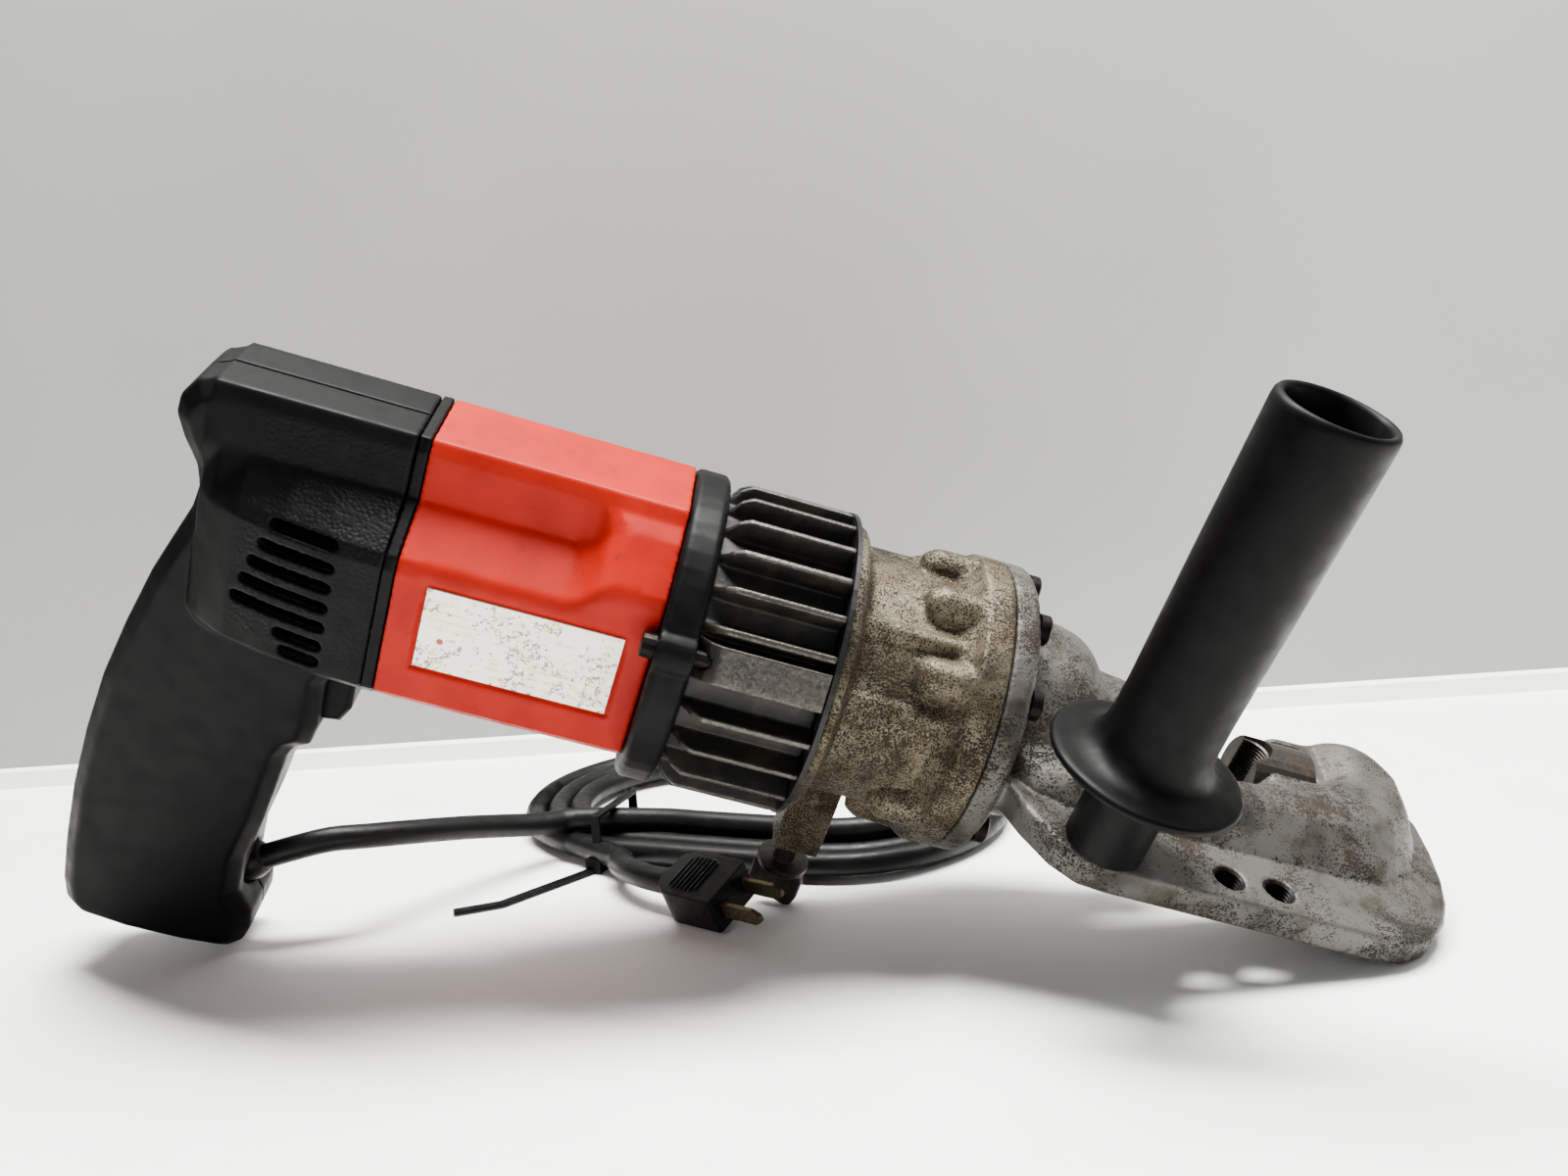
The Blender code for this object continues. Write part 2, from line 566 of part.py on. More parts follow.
def die_solid(face, back):
    """A round cutting die whose front face has a half-round groove for the rod."""
    body = turned([(min(face, back), DIE_RADIUS), (max(face, back), DIE_RADIUS)], 32)
    groove = standing([(-20 * MM, ROD_RADIUS), (20 * MM, ROD_RADIUS)], 24, face, 0.0)
    return cut(body, groove)


def make_cutters(frame):
    piece("fixed_die", die_solid(DIE_FACE, DIE_FACE + DIE_LENGTH), "tool_steel", parent=frame)
    ram_end = GUIDE_END + 2 * MM
    moving_at = (ram_end, 0.0, 0.0)
    piece("moving_die", die_solid(DIE_FACE - PISTON_STROKE - 1.0 * MM, ram_end + GAP), "tool_steel", at=moving_at,
          parent=frame)
    ram = turned([(147 * MM, 29.0 * MM), (148 * MM, 29.8 * MM), (150 * MM, 29.8 * MM), (150 * MM, 26.0 * MM),
                  (155 * MM, 26.0 * MM), (155 * MM, 29.8 * MM), (158 * MM, 29.8 * MM), (158 * MM, RAM_RADIUS),
                  (ram_end, RAM_RADIUS)], 36)
    piece("piston", ram, "bright_steel", at=(152.5 * MM, 0.0, 0.0), parent=frame)
    seal = ring_solid([(150.3 * MM, 26.3 * MM), (150.3 * MM, 29.9 * MM), (154.7 * MM, 29.9 * MM),
                       (154.7 * MM, 26.3 * MM)], 36)
    piece("piston_seal", seal, "oil_rubber", at=(152.5 * MM, 0.0, 0.0), parent=frame)
    make_return_spring(frame)


def make_return_spring(frame):
    turns = 4.0
    steps = 64
    wire = 1.6 * MM
    radius = 20.0 * MM
    x0 = 160.3 * MM
    x1 = 208.0 * MM
    rings = []
    for k in range(steps + 1):
        t = k / steps
        angle = 2.0 * math.pi * turns * t
        centre = Vector((x0 + (x1 - x0) * t, *around(radius, angle)))
        outward = Vector((0.0, *around(1.0, angle)))
        ring = []
        for s in range(6):
            a = 2.0 * math.pi * s / 6
            ring.append(tuple(centre + outward * wire * math.cos(a) + Vector((wire * math.sin(a), 0.0, 0.0))))
        rings.append(ring)
    piece("return_spring", loft(rings), "bright_steel", parent=frame)


# ---------------------------------------------------------------- side handle

def make_side_handle(frame):
    x = WEB_HOLES_X[0]
    y = WEB_HOLE_Y
    foot = RIM_HALF_THICKNESS + GAP
    outer = [(foot, NECK_RADIUS), (GUARD_Z - 3 * MM, NECK_RADIUS), (GUARD_Z - 1.6 * MM, GUARD_RADIUS),
             (GUARD_Z + 1.0 * MM, GUARD_RADIUS), (GUARD_Z + 3.4 * MM, 20 * MM), (GUARD_Z + 6 * MM, TUBE_RADIUS + 1 * MM),
             (GUARD_Z + 12 * MM, TUBE_RADIUS), (HANDLE_TOP - 1.2 * MM, TUBE_END_RADIUS),
             (HANDLE_TOP, TUBE_END_RADIUS - 1.2 * MM)]
    hollow = standing([(GUARD_Z + 6 * MM, TUBE_RADIUS - TUBE_WALL), (HANDLE_TOP + 5 * MM, TUBE_END_RADIUS - TUBE_WALL)],
                      32, x, y)
    stud_room = standing([(0.0, 4.8 * MM), (30 * MM, 4.8 * MM)], 20, x, y)
    piece("side_handle", cut(standing(outer, 40, x, y), hollow, stud_room), "black_plastic", at=(x, y, 0.0),
          parent=frame)
    stud = standing([(-4.5 * MM, 3.6 * MM), (-3.5 * MM, 4.5 * MM), (29 * MM, 4.5 * MM), (29.7 * MM, 3.8 * MM)],
                    16, x, y)
    piece("handle_stud", stud, "bright_steel", at=(x, y, 0.0), parent=frame)


# ---------------------------------------------------------------- release key

def make_release_key(frame):
    """A stem, a thin flange and a flat wing that stands a quarter-way across the tool."""
    flange_top = LUG_BOTTOM - 8.5 * MM
    flange_bottom = flange_top - 2.6 * MM
    stem = standing([(-64 * MM, 3.9 * MM), (flange_top, 3.9 * MM), (flange_top, 9.3 * MM),
                     (flange_bottom, 9.3 * MM), (flange_bottom, 4.0 * MM), (flange_bottom - 4.0 * MM, 4.0 * MM)][::-1],
                    24, KEY_X, 0.0)
    half = 9.6 * MM
    low = KEY_BOTTOM
    outline = [(KEY_X - 6.5 * MM, low), (KEY_X + 6.5 * MM, low), (KEY_X + half - 1 * MM, low + 1.4 * MM),
               (KEY_X + half, low + 4.5 * MM), (KEY_X + half, flange_bottom - 3.5 * MM),
               (KEY_X + half - 2.5 * MM, flange_bottom + 0.6 * MM), (KEY_X - half + 2.5 * MM, flange_bottom + 0.6 * MM),
               (KEY_X - half, flange_bottom - 3.5 * MM), (KEY_X - half, low + 4.5 * MM),
               (KEY_X - half + 1 * MM, low + 1.4 * MM)]
    wing = slab(outline, -1.9 * MM, 1.9 * MM, 0.6 * MM, plane="xz")
    bmesh.ops.rotate(wing, verts=wing.verts, cent=(KEY_X, 0.0, 0.0), matrix=Matrix.Rotation(KEY_TURN, 3, "Z"))
    piece("release_key", join(stem, wing), "tool_steel", at=(KEY_X, 0.0, LUG_BOTTOM), parent=frame)


# ---------------------------------------------------------------- pump

def make_pump(frame):
    axis = (0.0, -GEAR_CENTRES)
    shaft = turned([(90.5 * MM, SHAFT_RADIUS), (100 * MM, SHAFT_RADIUS), (112 * MM, SHAFT_RADIUS)], 16, axis)
    lobe = turned([(100.5 * MM, 7.5 * MM), (107.5 * MM, 7.5 * MM)], 24, (0.0, -GEAR_CENTRES + THROW))
    hinge = (100 * MM, 0.0, -GEAR_CENTRES)
    piece("eccentric_shaft", join(shaft, lobe), "bright_steel", at=hinge, parent=frame)
    profile = [(100.7 * MM, 7.8 * MM), (100.7 * MM, 11.0 * MM), (107.3 * MM, 11.0 * MM), (107.3 * MM, 7.8 * MM)]
    piece("eccentric_bearing", ring_solid(profile, 24, (0.0, -GEAR_CENTRES + THROW)), "bright_steel", at=hinge,
          parent=frame)
    gear_outline = []
    teeth = 24
    for k in range(teeth):
        for share, radius in ((0.0, 12.9), (0.30, 14.2), (0.55, 14.2), (0.80, 12.9)):
            gear_outline.append((radius * MM, 2.0 * math.pi * (k + share) / teeth))
    rings = []
    for x in (91.0 * MM, 97.0 * MM):
        ring = []
        for r, a in gear_outline:
            y, z = around(r, a)
            ring.append((x, y, z - GEAR_CENTRES))
        rings.append(ring)
    gear = cut(loft(rings), turned([(88 * MM, SHAFT_RADIUS + GAP), (99 * MM, SHAFT_RADIUS + GAP)], 16, axis))
    piece("drive_gear", gear, "tool_steel", at=hinge, parent=frame)
    top_of_orbit = -GEAR_CENTRES + THROW + 11.0 * MM
    plunger_foot = top_of_orbit + 2.0 * THROW + GAP
    plunger = standing([(plunger_foot, 3.4 * MM), (plunger_foot + 0.8 * MM, 4.0 * MM), (22 * MM, 4.0 * MM)], 16,
                       104 * MM, 0.0)
    piece("pump_plunger", plunger, "bright_steel", at=(104 * MM, 0.0, plunger_foot), parent=frame)
    pump_block = block(99 * MM, 111.5 * MM, -15 * MM, 15 * MM, 4 * MM, 31 * MM)
    guide = standing([(0.0, 4.3 * MM), (24 * MM, 4.3 * MM)], 16, 104 * MM, 0.0)
    piece("pump_block", cut(pump_block, guide), "cast_metal", parent=frame, smooth=False)
    bladder = ring_solid([(114 * MM, 22 * MM), (114 * MM, 34 * MM), (117 * MM, 36 * MM), (125 * MM, 36 * MM),
                          (128 * MM, 34 * MM), (128 * MM, 22 * MM)], 28)
    piece("oil_bladder", bladder, "oil_rubber", parent=frame)


# ---------------------------------------------------------------- rear handle

TAIL_STATIONS = [(-3.85, 38.0), (-20.0, 37.0), (-34.0, 34.5), (-48.0, 30.5), (-57.0, 25.5), (-62.5, 19.5)]


def grip_outline():
    """Side outline of the spine, beak, grip and toe, in x and z."""
    points = [(-6, 48.4), (-61, 49.2), (-68, 46.5), (-72.5, 40), (-73.2, 34), (-70, 26), (-66, 19), (-64.6, 12),
              (-66, 4), (-69.5, -5), (-76, -22), (-82.5, -44), (-88, -66), (-92, -90), (-94.8, -115), (-96, -140),
              (-96, -158), (-94.5, -167), (-89, -172.5), (-72, -175), (-52, -175.2), (-37, -173.9), (-32, -169.5),
              (-29.8, -162), (-30.2, -155), (-33, -150.5), (-35.6, -146), (-35.2, -130), (-31, -110), (-28.5, -93),
              (-26.8, -81), (-24.8, -76.5), (-20, -74), (-18.5, -66), (-18.5, -48), (-14, -38), (-6, -36)]
    return [(x * MM, z * MM) for x, z in points]


def tail_solid(wall):
    """The vented body behind the motor; wall moves every face inward."""
    rings = []
    for k, (x, half) in enumerate(TAIL_STATIONS):
        shift = wall if k == len(TAIL_STATIONS) - 1 else 0.0
        if k == 0 and wall > 0.0:
            shift = 5.0 * MM
        rings.append(housing_section(x * MM + shift, 1.0, half * MM, wall))
    return loft(rings)


def make_handle(frame):
    outline = grip_outline()
    outer = join(tail_solid(0.0), slab(outline, -GRIP_HALF_WIDTH, GRIP_HALF_WIDTH, 5.0 * MM, plane="xz"))
    inner_outline = inset(outline, SHELL_WALL)
    inner = join(tail_solid(SHELL_WALL), slab(inner_outline, -GRIP_HALF_WIDTH + SHELL_WALL,
                                              GRIP_HALF_WIDTH - SHELL_WALL, 3.5 * MM, plane="xz"))
    shell = cut(outer, inner, trigger_block(1.2 * MM, TRIGGER_TRAVEL + 0.5 * MM), cord_hole(), *louvres())
    far = 200 * MM
    right = cut(shell, block(-far, far, -0.5 * GAP, far, -far, far))
    left = right.copy()
    bmesh.ops.scale(left, verts=left.verts, vec=(1.0, -1.0, 1.0))
    bmesh.ops.reverse_faces(left, faces=left.faces)
    piece("handle_right_half", right, "black_plastic", parent=frame)
    piece("handle_left_half", left, "black_plastic", parent=frame)


def louvres():
    """Seven round-ended slots through both sides of the tail."""
    rows = [(18.0, -38.0), (10.8, -40.5), (3.8, -43.0), (-3.2, -45.0), (-10.2, -47.0), (-17.0, -32.5), (-22.6, -30.0)]
    cutters = []
    for side in (-1.0, 1.0):
        for z, rear in rows:
            outline = arc(-18.8 * MM, z * MM, 1.9 * MM, -90, 90, 4) + arc((rear + 1.9) * MM, z * MM, 1.9 * MM, 90, 270, 4)
            y0, y1 = sorted((side * 22 * MM, side * 45 * MM))
            cutters.append(slab(outline, y0, y1, plane="xz"))
    return cutters


def trigger_block(room=0.0, travel=0.0):
    outline = [(-10, -38), (-10, -60), (-13, -66), (-19, -67), (-24, -66), (-24, -38)]
    points = [(x * MM, z * MM) for x, z in outline]
    grown = inset(points, -room) if room else points
    if travel:
        grown = [(x - travel if x < -20 * MM else x, z) for x, z in grown]
    half = 8.0 * MM + room
    return slab(grown, -half, half, 0.0 if room else 1.5 * MM, plane="xz")


def grip_exit(bm):
    """Sets a piece that was built along x on the cord's line out of the grip, which points up and forward."""
    bmesh.ops.rotate(bm, verts=bm.verts, matrix=Matrix.Rotation(-CORD_RISE, 3, "Y"))
    bmesh.ops.translate(bm, verts=bm.verts, vec=(-34.5 * MM, 0.0, CORD_HOLE_Z))
    return bm


def cord_hole():
    """The hole above the toe that the lead's sleeve comes out of."""
    return grip_exit(turned([(-11 * MM, 7.6 * MM), (12 * MM, 7.6 * MM)], 20))


def make_trigger(frame):
    piece("trigger", trigger_block(), "black_plastic", at=(-24 * MM, 0.0, -50 * MM), parent=frame)
    body = block(-62 * MM, -33 * MM, -9 * MM, 9 * MM, -62 * MM, -42 * MM)
    piece("switch_body", body, "carbon", parent=frame, smooth=False)


def make_cord_sleeve(frame):
    """The tapered rubber sleeve that guides the lead out of the grip."""
    profile = [(-14, 9.0), (-9.5, 9.0), (-9.5, 7.2), (0, 7.2), (SLEEVE_FRONT / MM, 5.6)]
    sleeve = grip_exit(turned([(x * MM, r * MM) for x, r in profile], 20))
    piece("cord_sleeve", sleeve, "cord_rubber", parent=frame)


# ---------------------------------------------------------------- mains lead on the floor

def stadium(offset, steps):
    """The coil's outline in plan, moved outward by offset from the middle of its turns."""
    (ax, ay), (bx, by) = COIL_CENTRES
    heading = math.degrees(math.atan2(by - ay, bx - ax))
    radius = COIL_RADIUS + offset
    return arc(bx, by, radius, heading - 90, heading + 90, steps) + arc(ax, ay, radius, heading + 90, heading + 270, steps)


def make_cord():
    for name, route in (("cord_lead", LEAD_ROUTE), ("cord_tail", TAIL_ROUTE)):
        points = smooth_route([[c * MM for c in p] for p in route], 2.2 * CORD_RADIUS)
        tube(name, points, CORD_RADIUS, "cord_rubber")
    low, high = COIL_Z
    ring = slab(stadium(COIL_HALF_WIDTH, 16), low, high, 3.5 * MM)
    middle = slab(stadium(-COIL_HALF_WIDTH, 16), low - 5 * MM, high + 5 * MM)
    piece("cord_coil", cut(ring, middle), "cord_rubber")


def make_plug():
    """A two-blade rubber plug lying on one long edge, in its own frame: +x out through the blades."""
    holder = bpy.data.objects.new("plug_frame", None)
    holder.location = PLUG_REAR
    holder.rotation_euler = PLUG_TURN
    bpy.context.scene.collection.objects.link(holder)
    half = [(0.0, 4.9), (3.6, 5.4), (4.4, 8.0), (9.0, 11.1), (30.0, 11.1), (PLUG_LENGTH / MM, 10.2)]
    outline = [(x * MM, -y * MM) for x, y in half] + [(x * MM, y * MM) for x, y in reversed(half)]
    body = slab(outline, -7.7 * MM, 7.7 * MM, 1.6 * MM)
    piece("plug_body", body, "cord_rubber", parent=holder)
    for number, side in enumerate((-6.35, 6.35), 1):
        x0 = PLUG_LENGTH + GAP
        tip = [(x0, -3.15 * MM), (x0 + 14 * MM, -3.15 * MM), (x0 + 17 * MM, -1.2 * MM), (x0 + 17 * MM, 1.2 * MM),
               (x0 + 14 * MM, 3.15 * MM), (x0, 3.15 * MM)]
        blade = slab(tip, (side - 0.75) * MM, (side + 0.75) * MM, plane="xz")
        piece("plug_blade_%d" % number, blade, "brass", parent=holder, smooth=False)


def make_cable_tie():
    """The tie round the coil's near run: a band, a square lock and a loose tail on the floor."""
    (ax, ay), (bx, by) = COIL_CENTRES
    heading = math.atan2(by - ay, bx - ax)
    along = Vector((math.cos(heading), math.sin(heading), 0.0))
    outward = Vector((math.sin(heading), -math.cos(heading), 0.0))
    centre = Vector((ax, ay, 0.0)) + outward * COIL_RADIUS - along * 2.0 * MM
    strap = 1.1 * MM
    half_strap = 1.9 * MM
    inner = COIL_HALF_WIDTH + 0.7 * MM
    low = 0.4 * MM
    high = COIL_Z[1] + 0.4 * MM + strap

    def ring(grow, u):
        corners = [(-inner - grow, low + strap - grow), (inner + grow, low + strap - grow),
                   (inner + grow, high - strap + grow), (-inner - grow, high - strap + grow)]
        return [tuple(centre + outward * v + along * u + Vector((0.0, 0.0, z))) for v, z in corners]

    band = cut(loft([ring(strap, -half_strap), ring(strap, half_strap)]),
               loft([ring(0.0, -6 * MM), ring(0.0, 6 * MM)]))
    lock_at = centre + outward * (inner + strap + 1.9 * MM)
    lock = block(-3.2 * MM, 3.2 * MM, -2.8 * MM, 2.8 * MM, low, low + 5.5 * MM)
    bmesh.ops.rotate(lock, verts=lock.verts, matrix=Matrix.Rotation(heading, 3, "Z"))
    bmesh.ops.translate(lock, verts=lock.verts, vec=lock_at)
    path = [Vector((lock_at.x, lock_at.y)), Vector((-84.5, 84.3)) * MM, Vector((-102.0, 81.2)) * MM]
    sides = []
    for side in (1.0, -1.0):
        line = []
        for k, p in enumerate(path):
            ahead = (path[min(k + 1, 2)] - path[max(k - 1, 0)]).normalized()
            line.append((p.x - side * ahead.y * half_strap, p.y + side * ahead.x * half_strap))
        sides.append(line)
    tail = slab(sides[0] + sides[1][::-1], low + 0.4 * MM, low + 0.4 * MM + strap)
    piece("cable_tie", join(band, lock, tail), "black_plastic", smooth=False)


def main():
    clear_scene()
    frame = bpy.data.objects.new("tool_frame", None)
    frame.location = PLACE
    frame.rotation_mode = "QUATERNION"
    turn = Matrix.Rotation(TILT, 3, "Y") @ Matrix.Rotation(LEAN, 3, "X")
    frame.rotation_quaternion = turn.to_quaternion()
    bpy.context.scene.collection.objects.link(frame)
    make_motor_housing(frame)
    make_motor(frame)
    make_rear_bracket(frame)
    make_front_bracket(frame)
    make_pump_case(frame)
    make_cylinder_housing(frame)
    make_head_frame(frame)
    make_head_screws(frame)
    make_cutters(frame)
    make_side_handle(frame)
    make_release_key(frame)
    make_pump(frame)
    make_handle(frame)
    make_trigger(frame)
    make_cord_sleeve(frame)
    make_cord()
    make_plug()
    make_cable_tie()


main()
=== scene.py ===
"""Looks for the electric hydraulic rod cutter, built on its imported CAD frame."""
import json
import math

import bmesh
import bpy
from mathutils import Matrix, Vector


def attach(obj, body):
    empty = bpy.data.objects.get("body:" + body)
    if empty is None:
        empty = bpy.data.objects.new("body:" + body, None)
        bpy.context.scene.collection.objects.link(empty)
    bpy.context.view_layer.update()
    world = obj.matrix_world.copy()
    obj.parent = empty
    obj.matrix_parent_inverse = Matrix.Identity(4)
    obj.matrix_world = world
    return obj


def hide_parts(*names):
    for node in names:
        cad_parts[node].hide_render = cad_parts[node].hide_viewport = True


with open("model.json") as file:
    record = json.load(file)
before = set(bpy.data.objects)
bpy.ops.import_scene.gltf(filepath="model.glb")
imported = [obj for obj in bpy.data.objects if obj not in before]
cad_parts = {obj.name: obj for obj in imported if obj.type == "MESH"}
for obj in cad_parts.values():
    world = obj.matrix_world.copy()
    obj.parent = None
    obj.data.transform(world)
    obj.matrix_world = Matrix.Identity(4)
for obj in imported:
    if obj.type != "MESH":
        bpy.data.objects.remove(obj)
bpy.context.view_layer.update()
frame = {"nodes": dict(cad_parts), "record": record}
NODES = frame["nodes"]
MM = 0.001

# The tool's own frame: +x forward along the motor axis, +z up its spine, -y its right side
TILT = math.radians(20.749)
LEAN = math.radians(20.898)
PLACE = Vector((-0.0892, 0.02588, 0.14301))
TURN = Matrix.Rotation(TILT, 3, "Y") @ Matrix.Rotation(LEAN, 3, "X")
TO_WORLD = Matrix.Translation(PLACE) @ TURN.to_4x4() @ Matrix.Scale(MM, 4)

# Mains lead: the same route as the CAD, in world millimetres
CORD_DIAMETER = 9.4
LEAD = [(-164.0, 75.5, 32.5), (-152.6, 73.6, 35.2), (-140.7, 74.5, 36.6), (-129.6, 78.2, 35.2),
        (-114.5, 88.2, 31.6), (-97.5, 102.4, 26.3), (-84.0, 114.4, 21.3), (-75.0, 121.3, 18.3),
        (-67.2, 126.5, 16.6)]
INTO_COIL = [(-57.0, 130.6, 15.6)]
TAIL = [(-41.5, 104.0, 7.4), (-39.8, 92.0, 9.4), (-35.6, 80.0, 10.8), (-29.0, 70.4, 11.3), (-21.8, 63.3, 11.4)]
COIL_ENDS = ((-16.2, 171.3), (54.8, 134.7))
COIL_RADIUS = 52.0
TURNS = 4
TURN_OFFSETS = (-4.7, -9.5, 0.0, 9.5)
TURN_HEIGHTS = (14.8, 6.6, 6.6, 6.6)
PLUG_REAR = (-21.4, 62.9, 11.4)
PLUG_TURN = (math.radians(21.9), math.radians(-1.3), math.radians(-44.3))
CORD_HOLE = (-34.5, 0.0, -141.5)  # where the lead leaves the grip, in the tool's frame
CORD_RISE = math.radians(33.7)

# Places on the cutting head, in the tool's frame and in millimetres
SCREW_SEAT = 191.6
SCREW_CIRCLE = 42.5
SCREW_ANGLES = (-160.0, -119.0, -52.0, -17.0, 17.0, 52.0, 119.0, 160.0)
HANDLE_X, HANDLE_Y = 219.0, -65.5
SPARE_HOLES = (260.0, 276.5)
FIXED_DIE_FACE = 283.0
MOVING_DIE_FACE = 262.0
DIE_RADIUS = 14.0
FIN_TIP_REACH = (51.1, 51.9)
RED_DOT = (16.5, -37.2, -3.5)

# The stage and the camera, in metres and radians
WALL_DISTANCE = 0.279
WALL_SKEW = -0.126
CAMERA_PLACE = (-0.0088, -0.4237, 0.2041)
CAMERA_YAW, CAMERA_PITCH, CAMERA_ROLL = -0.0771, 0.1803, -0.0779
CAMERA_LENS = 32.41


# ---------------------------------------------------------------- mesh helpers

def loft(rings, loop=False):
    """A bmesh skinned through rings that all have the same number of points."""
    bm = bmesh.new()
    rows = [[bm.verts.new(p) for p in ring] for ring in rings]
    count = len(rings[0])
    pairs = list(zip(rows, rows[1:]))
    if loop:
        pairs.append((rows[-1], rows[0]))
    for a, b in pairs:
        for i in range(count):
            j = (i + 1) % count
            bm.faces.new((a[i], a[j], b[j], b[i]))
    if not loop:
        bm.faces.new(rows[0][::-1])
        bm.faces.new(rows[-1])
    bmesh.ops.recalc_face_normals(bm, faces=bm.faces)
    return bm


def ring_x(x, radius, steps, y=0.0, z=0.0):
    """A circle round a line along the tool's x, starting from straight up."""
    turns = [2 * math.pi * k / steps for k in range(steps)]
    return [(x, y - radius * math.sin(t), z + radius * math.cos(t)) for t in turns]


def ring_z(z, radius, steps, x=0.0, y=0.0):
    turns = [2 * math.pi * k / steps for k in range(steps)]
    return [(x + radius * math.cos(t), y + radius * math.sin(t), z) for t in turns]


def hexagon_radius(flat, turn):
    """How far a hexagon's edge is from its middle, for a distance between flats of 2 * flat."""
    return flat / math.cos((turn + math.pi / 6) % (math.pi / 3) - math.pi / 6)


def bar(x0, x1, y0, y1, z0, z1):
    return loft([[(x, y0, z0), (x, y1, z0), (x, y1, z1), (x, y0, z1)] for x in (x0, x1)])


def merged(*parts):
    """One bmesh that holds all the parts' faces."""
    whole = bmesh.new()
    for part in parts:
        mesh = bpy.data.meshes.new("part")
        part.to_mesh(mesh)
        part.free()
        whole.from_mesh(mesh)
        bpy.data.meshes.remove(mesh)
    return whole


def piece(name, bm, look, body, nodes=(), matrix=TO_WORLD, sharp=35.0):
    """A finished object from a bmesh, riding on its body and standing for its CAD nodes."""
    mesh = bpy.data.meshes.new(name)
    bm.to_mesh(mesh)
    bm.free()
    mesh.transform(matrix)
    return finish_piece(name, mesh, look, body, nodes, sharp)


def finish_piece(name, mesh, look, body, nodes, sharp=35.0):
    mesh.materials.clear()
    mesh.materials.append(look)
    mesh.shade_smooth()
    if sharp:
        mesh.set_sharp_from_angle(angle=math.radians(sharp))
    obj = bpy.data.objects.new(name, mesh)
    bpy.context.scene.collection.objects.link(obj)
    if nodes:
        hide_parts(*nodes)
    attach(obj, body)
    return obj


def shaped(mesh, *steps, soft=None):
    """The mesh after a list of (modifier type, settings); soft picks the points of the group called soft."""
    work = bpy.data.objects.new("work", mesh)
    bpy.context.scene.collection.objects.link(work)
    if soft:
        group = work.vertex_groups.new(name="soft")
        group.add([v.index for v in mesh.vertices if soft(v.co)], 1.0, "REPLACE")
    for kind, settings in steps:
        step = work.modifiers.new(kind.lower(), kind)
        for key, value in settings.items():
            setattr(step, key, value)
    bpy.context.view_layer.update()
    graph = bpy.context.evaluated_depsgraph_get()
    result = bpy.data.meshes.new_from_object(work.evaluated_get(graph))
    bpy.data.objects.remove(work, do_unlink=True)
    return result


def softened(node, name, look, body, voxel=0.8, rounds=4, keep=0.4, soft=None, more=0):
    """A cast or moulded version of a CAD node: its edges rounded and its corners filled.

    Points that soft picks, by their place in the tool's frame, are smoothed for more rounds."""
    mesh = shaped(NODES[node].data.copy(), ("REMESH", {"mode": "VOXEL", "voxel_size": voxel * MM}))
    steps = [("SMOOTH", {"factor": 0.5, "iterations": rounds})]
    test = None
    if soft:
        steps.append(("SMOOTH", {"factor": 0.5, "iterations": more, "vertex_group": "soft"}))
        back = TO_WORLD.inverted()

        def test(place):
            return soft(back @ place)
    mesh = shaped(mesh, *steps, ("DECIMATE", {"ratio": keep}), soft=test)
    return finish_piece(name, mesh, look, body, [node], sharp=0.0)


# ---------------------------------------------------------------- materials

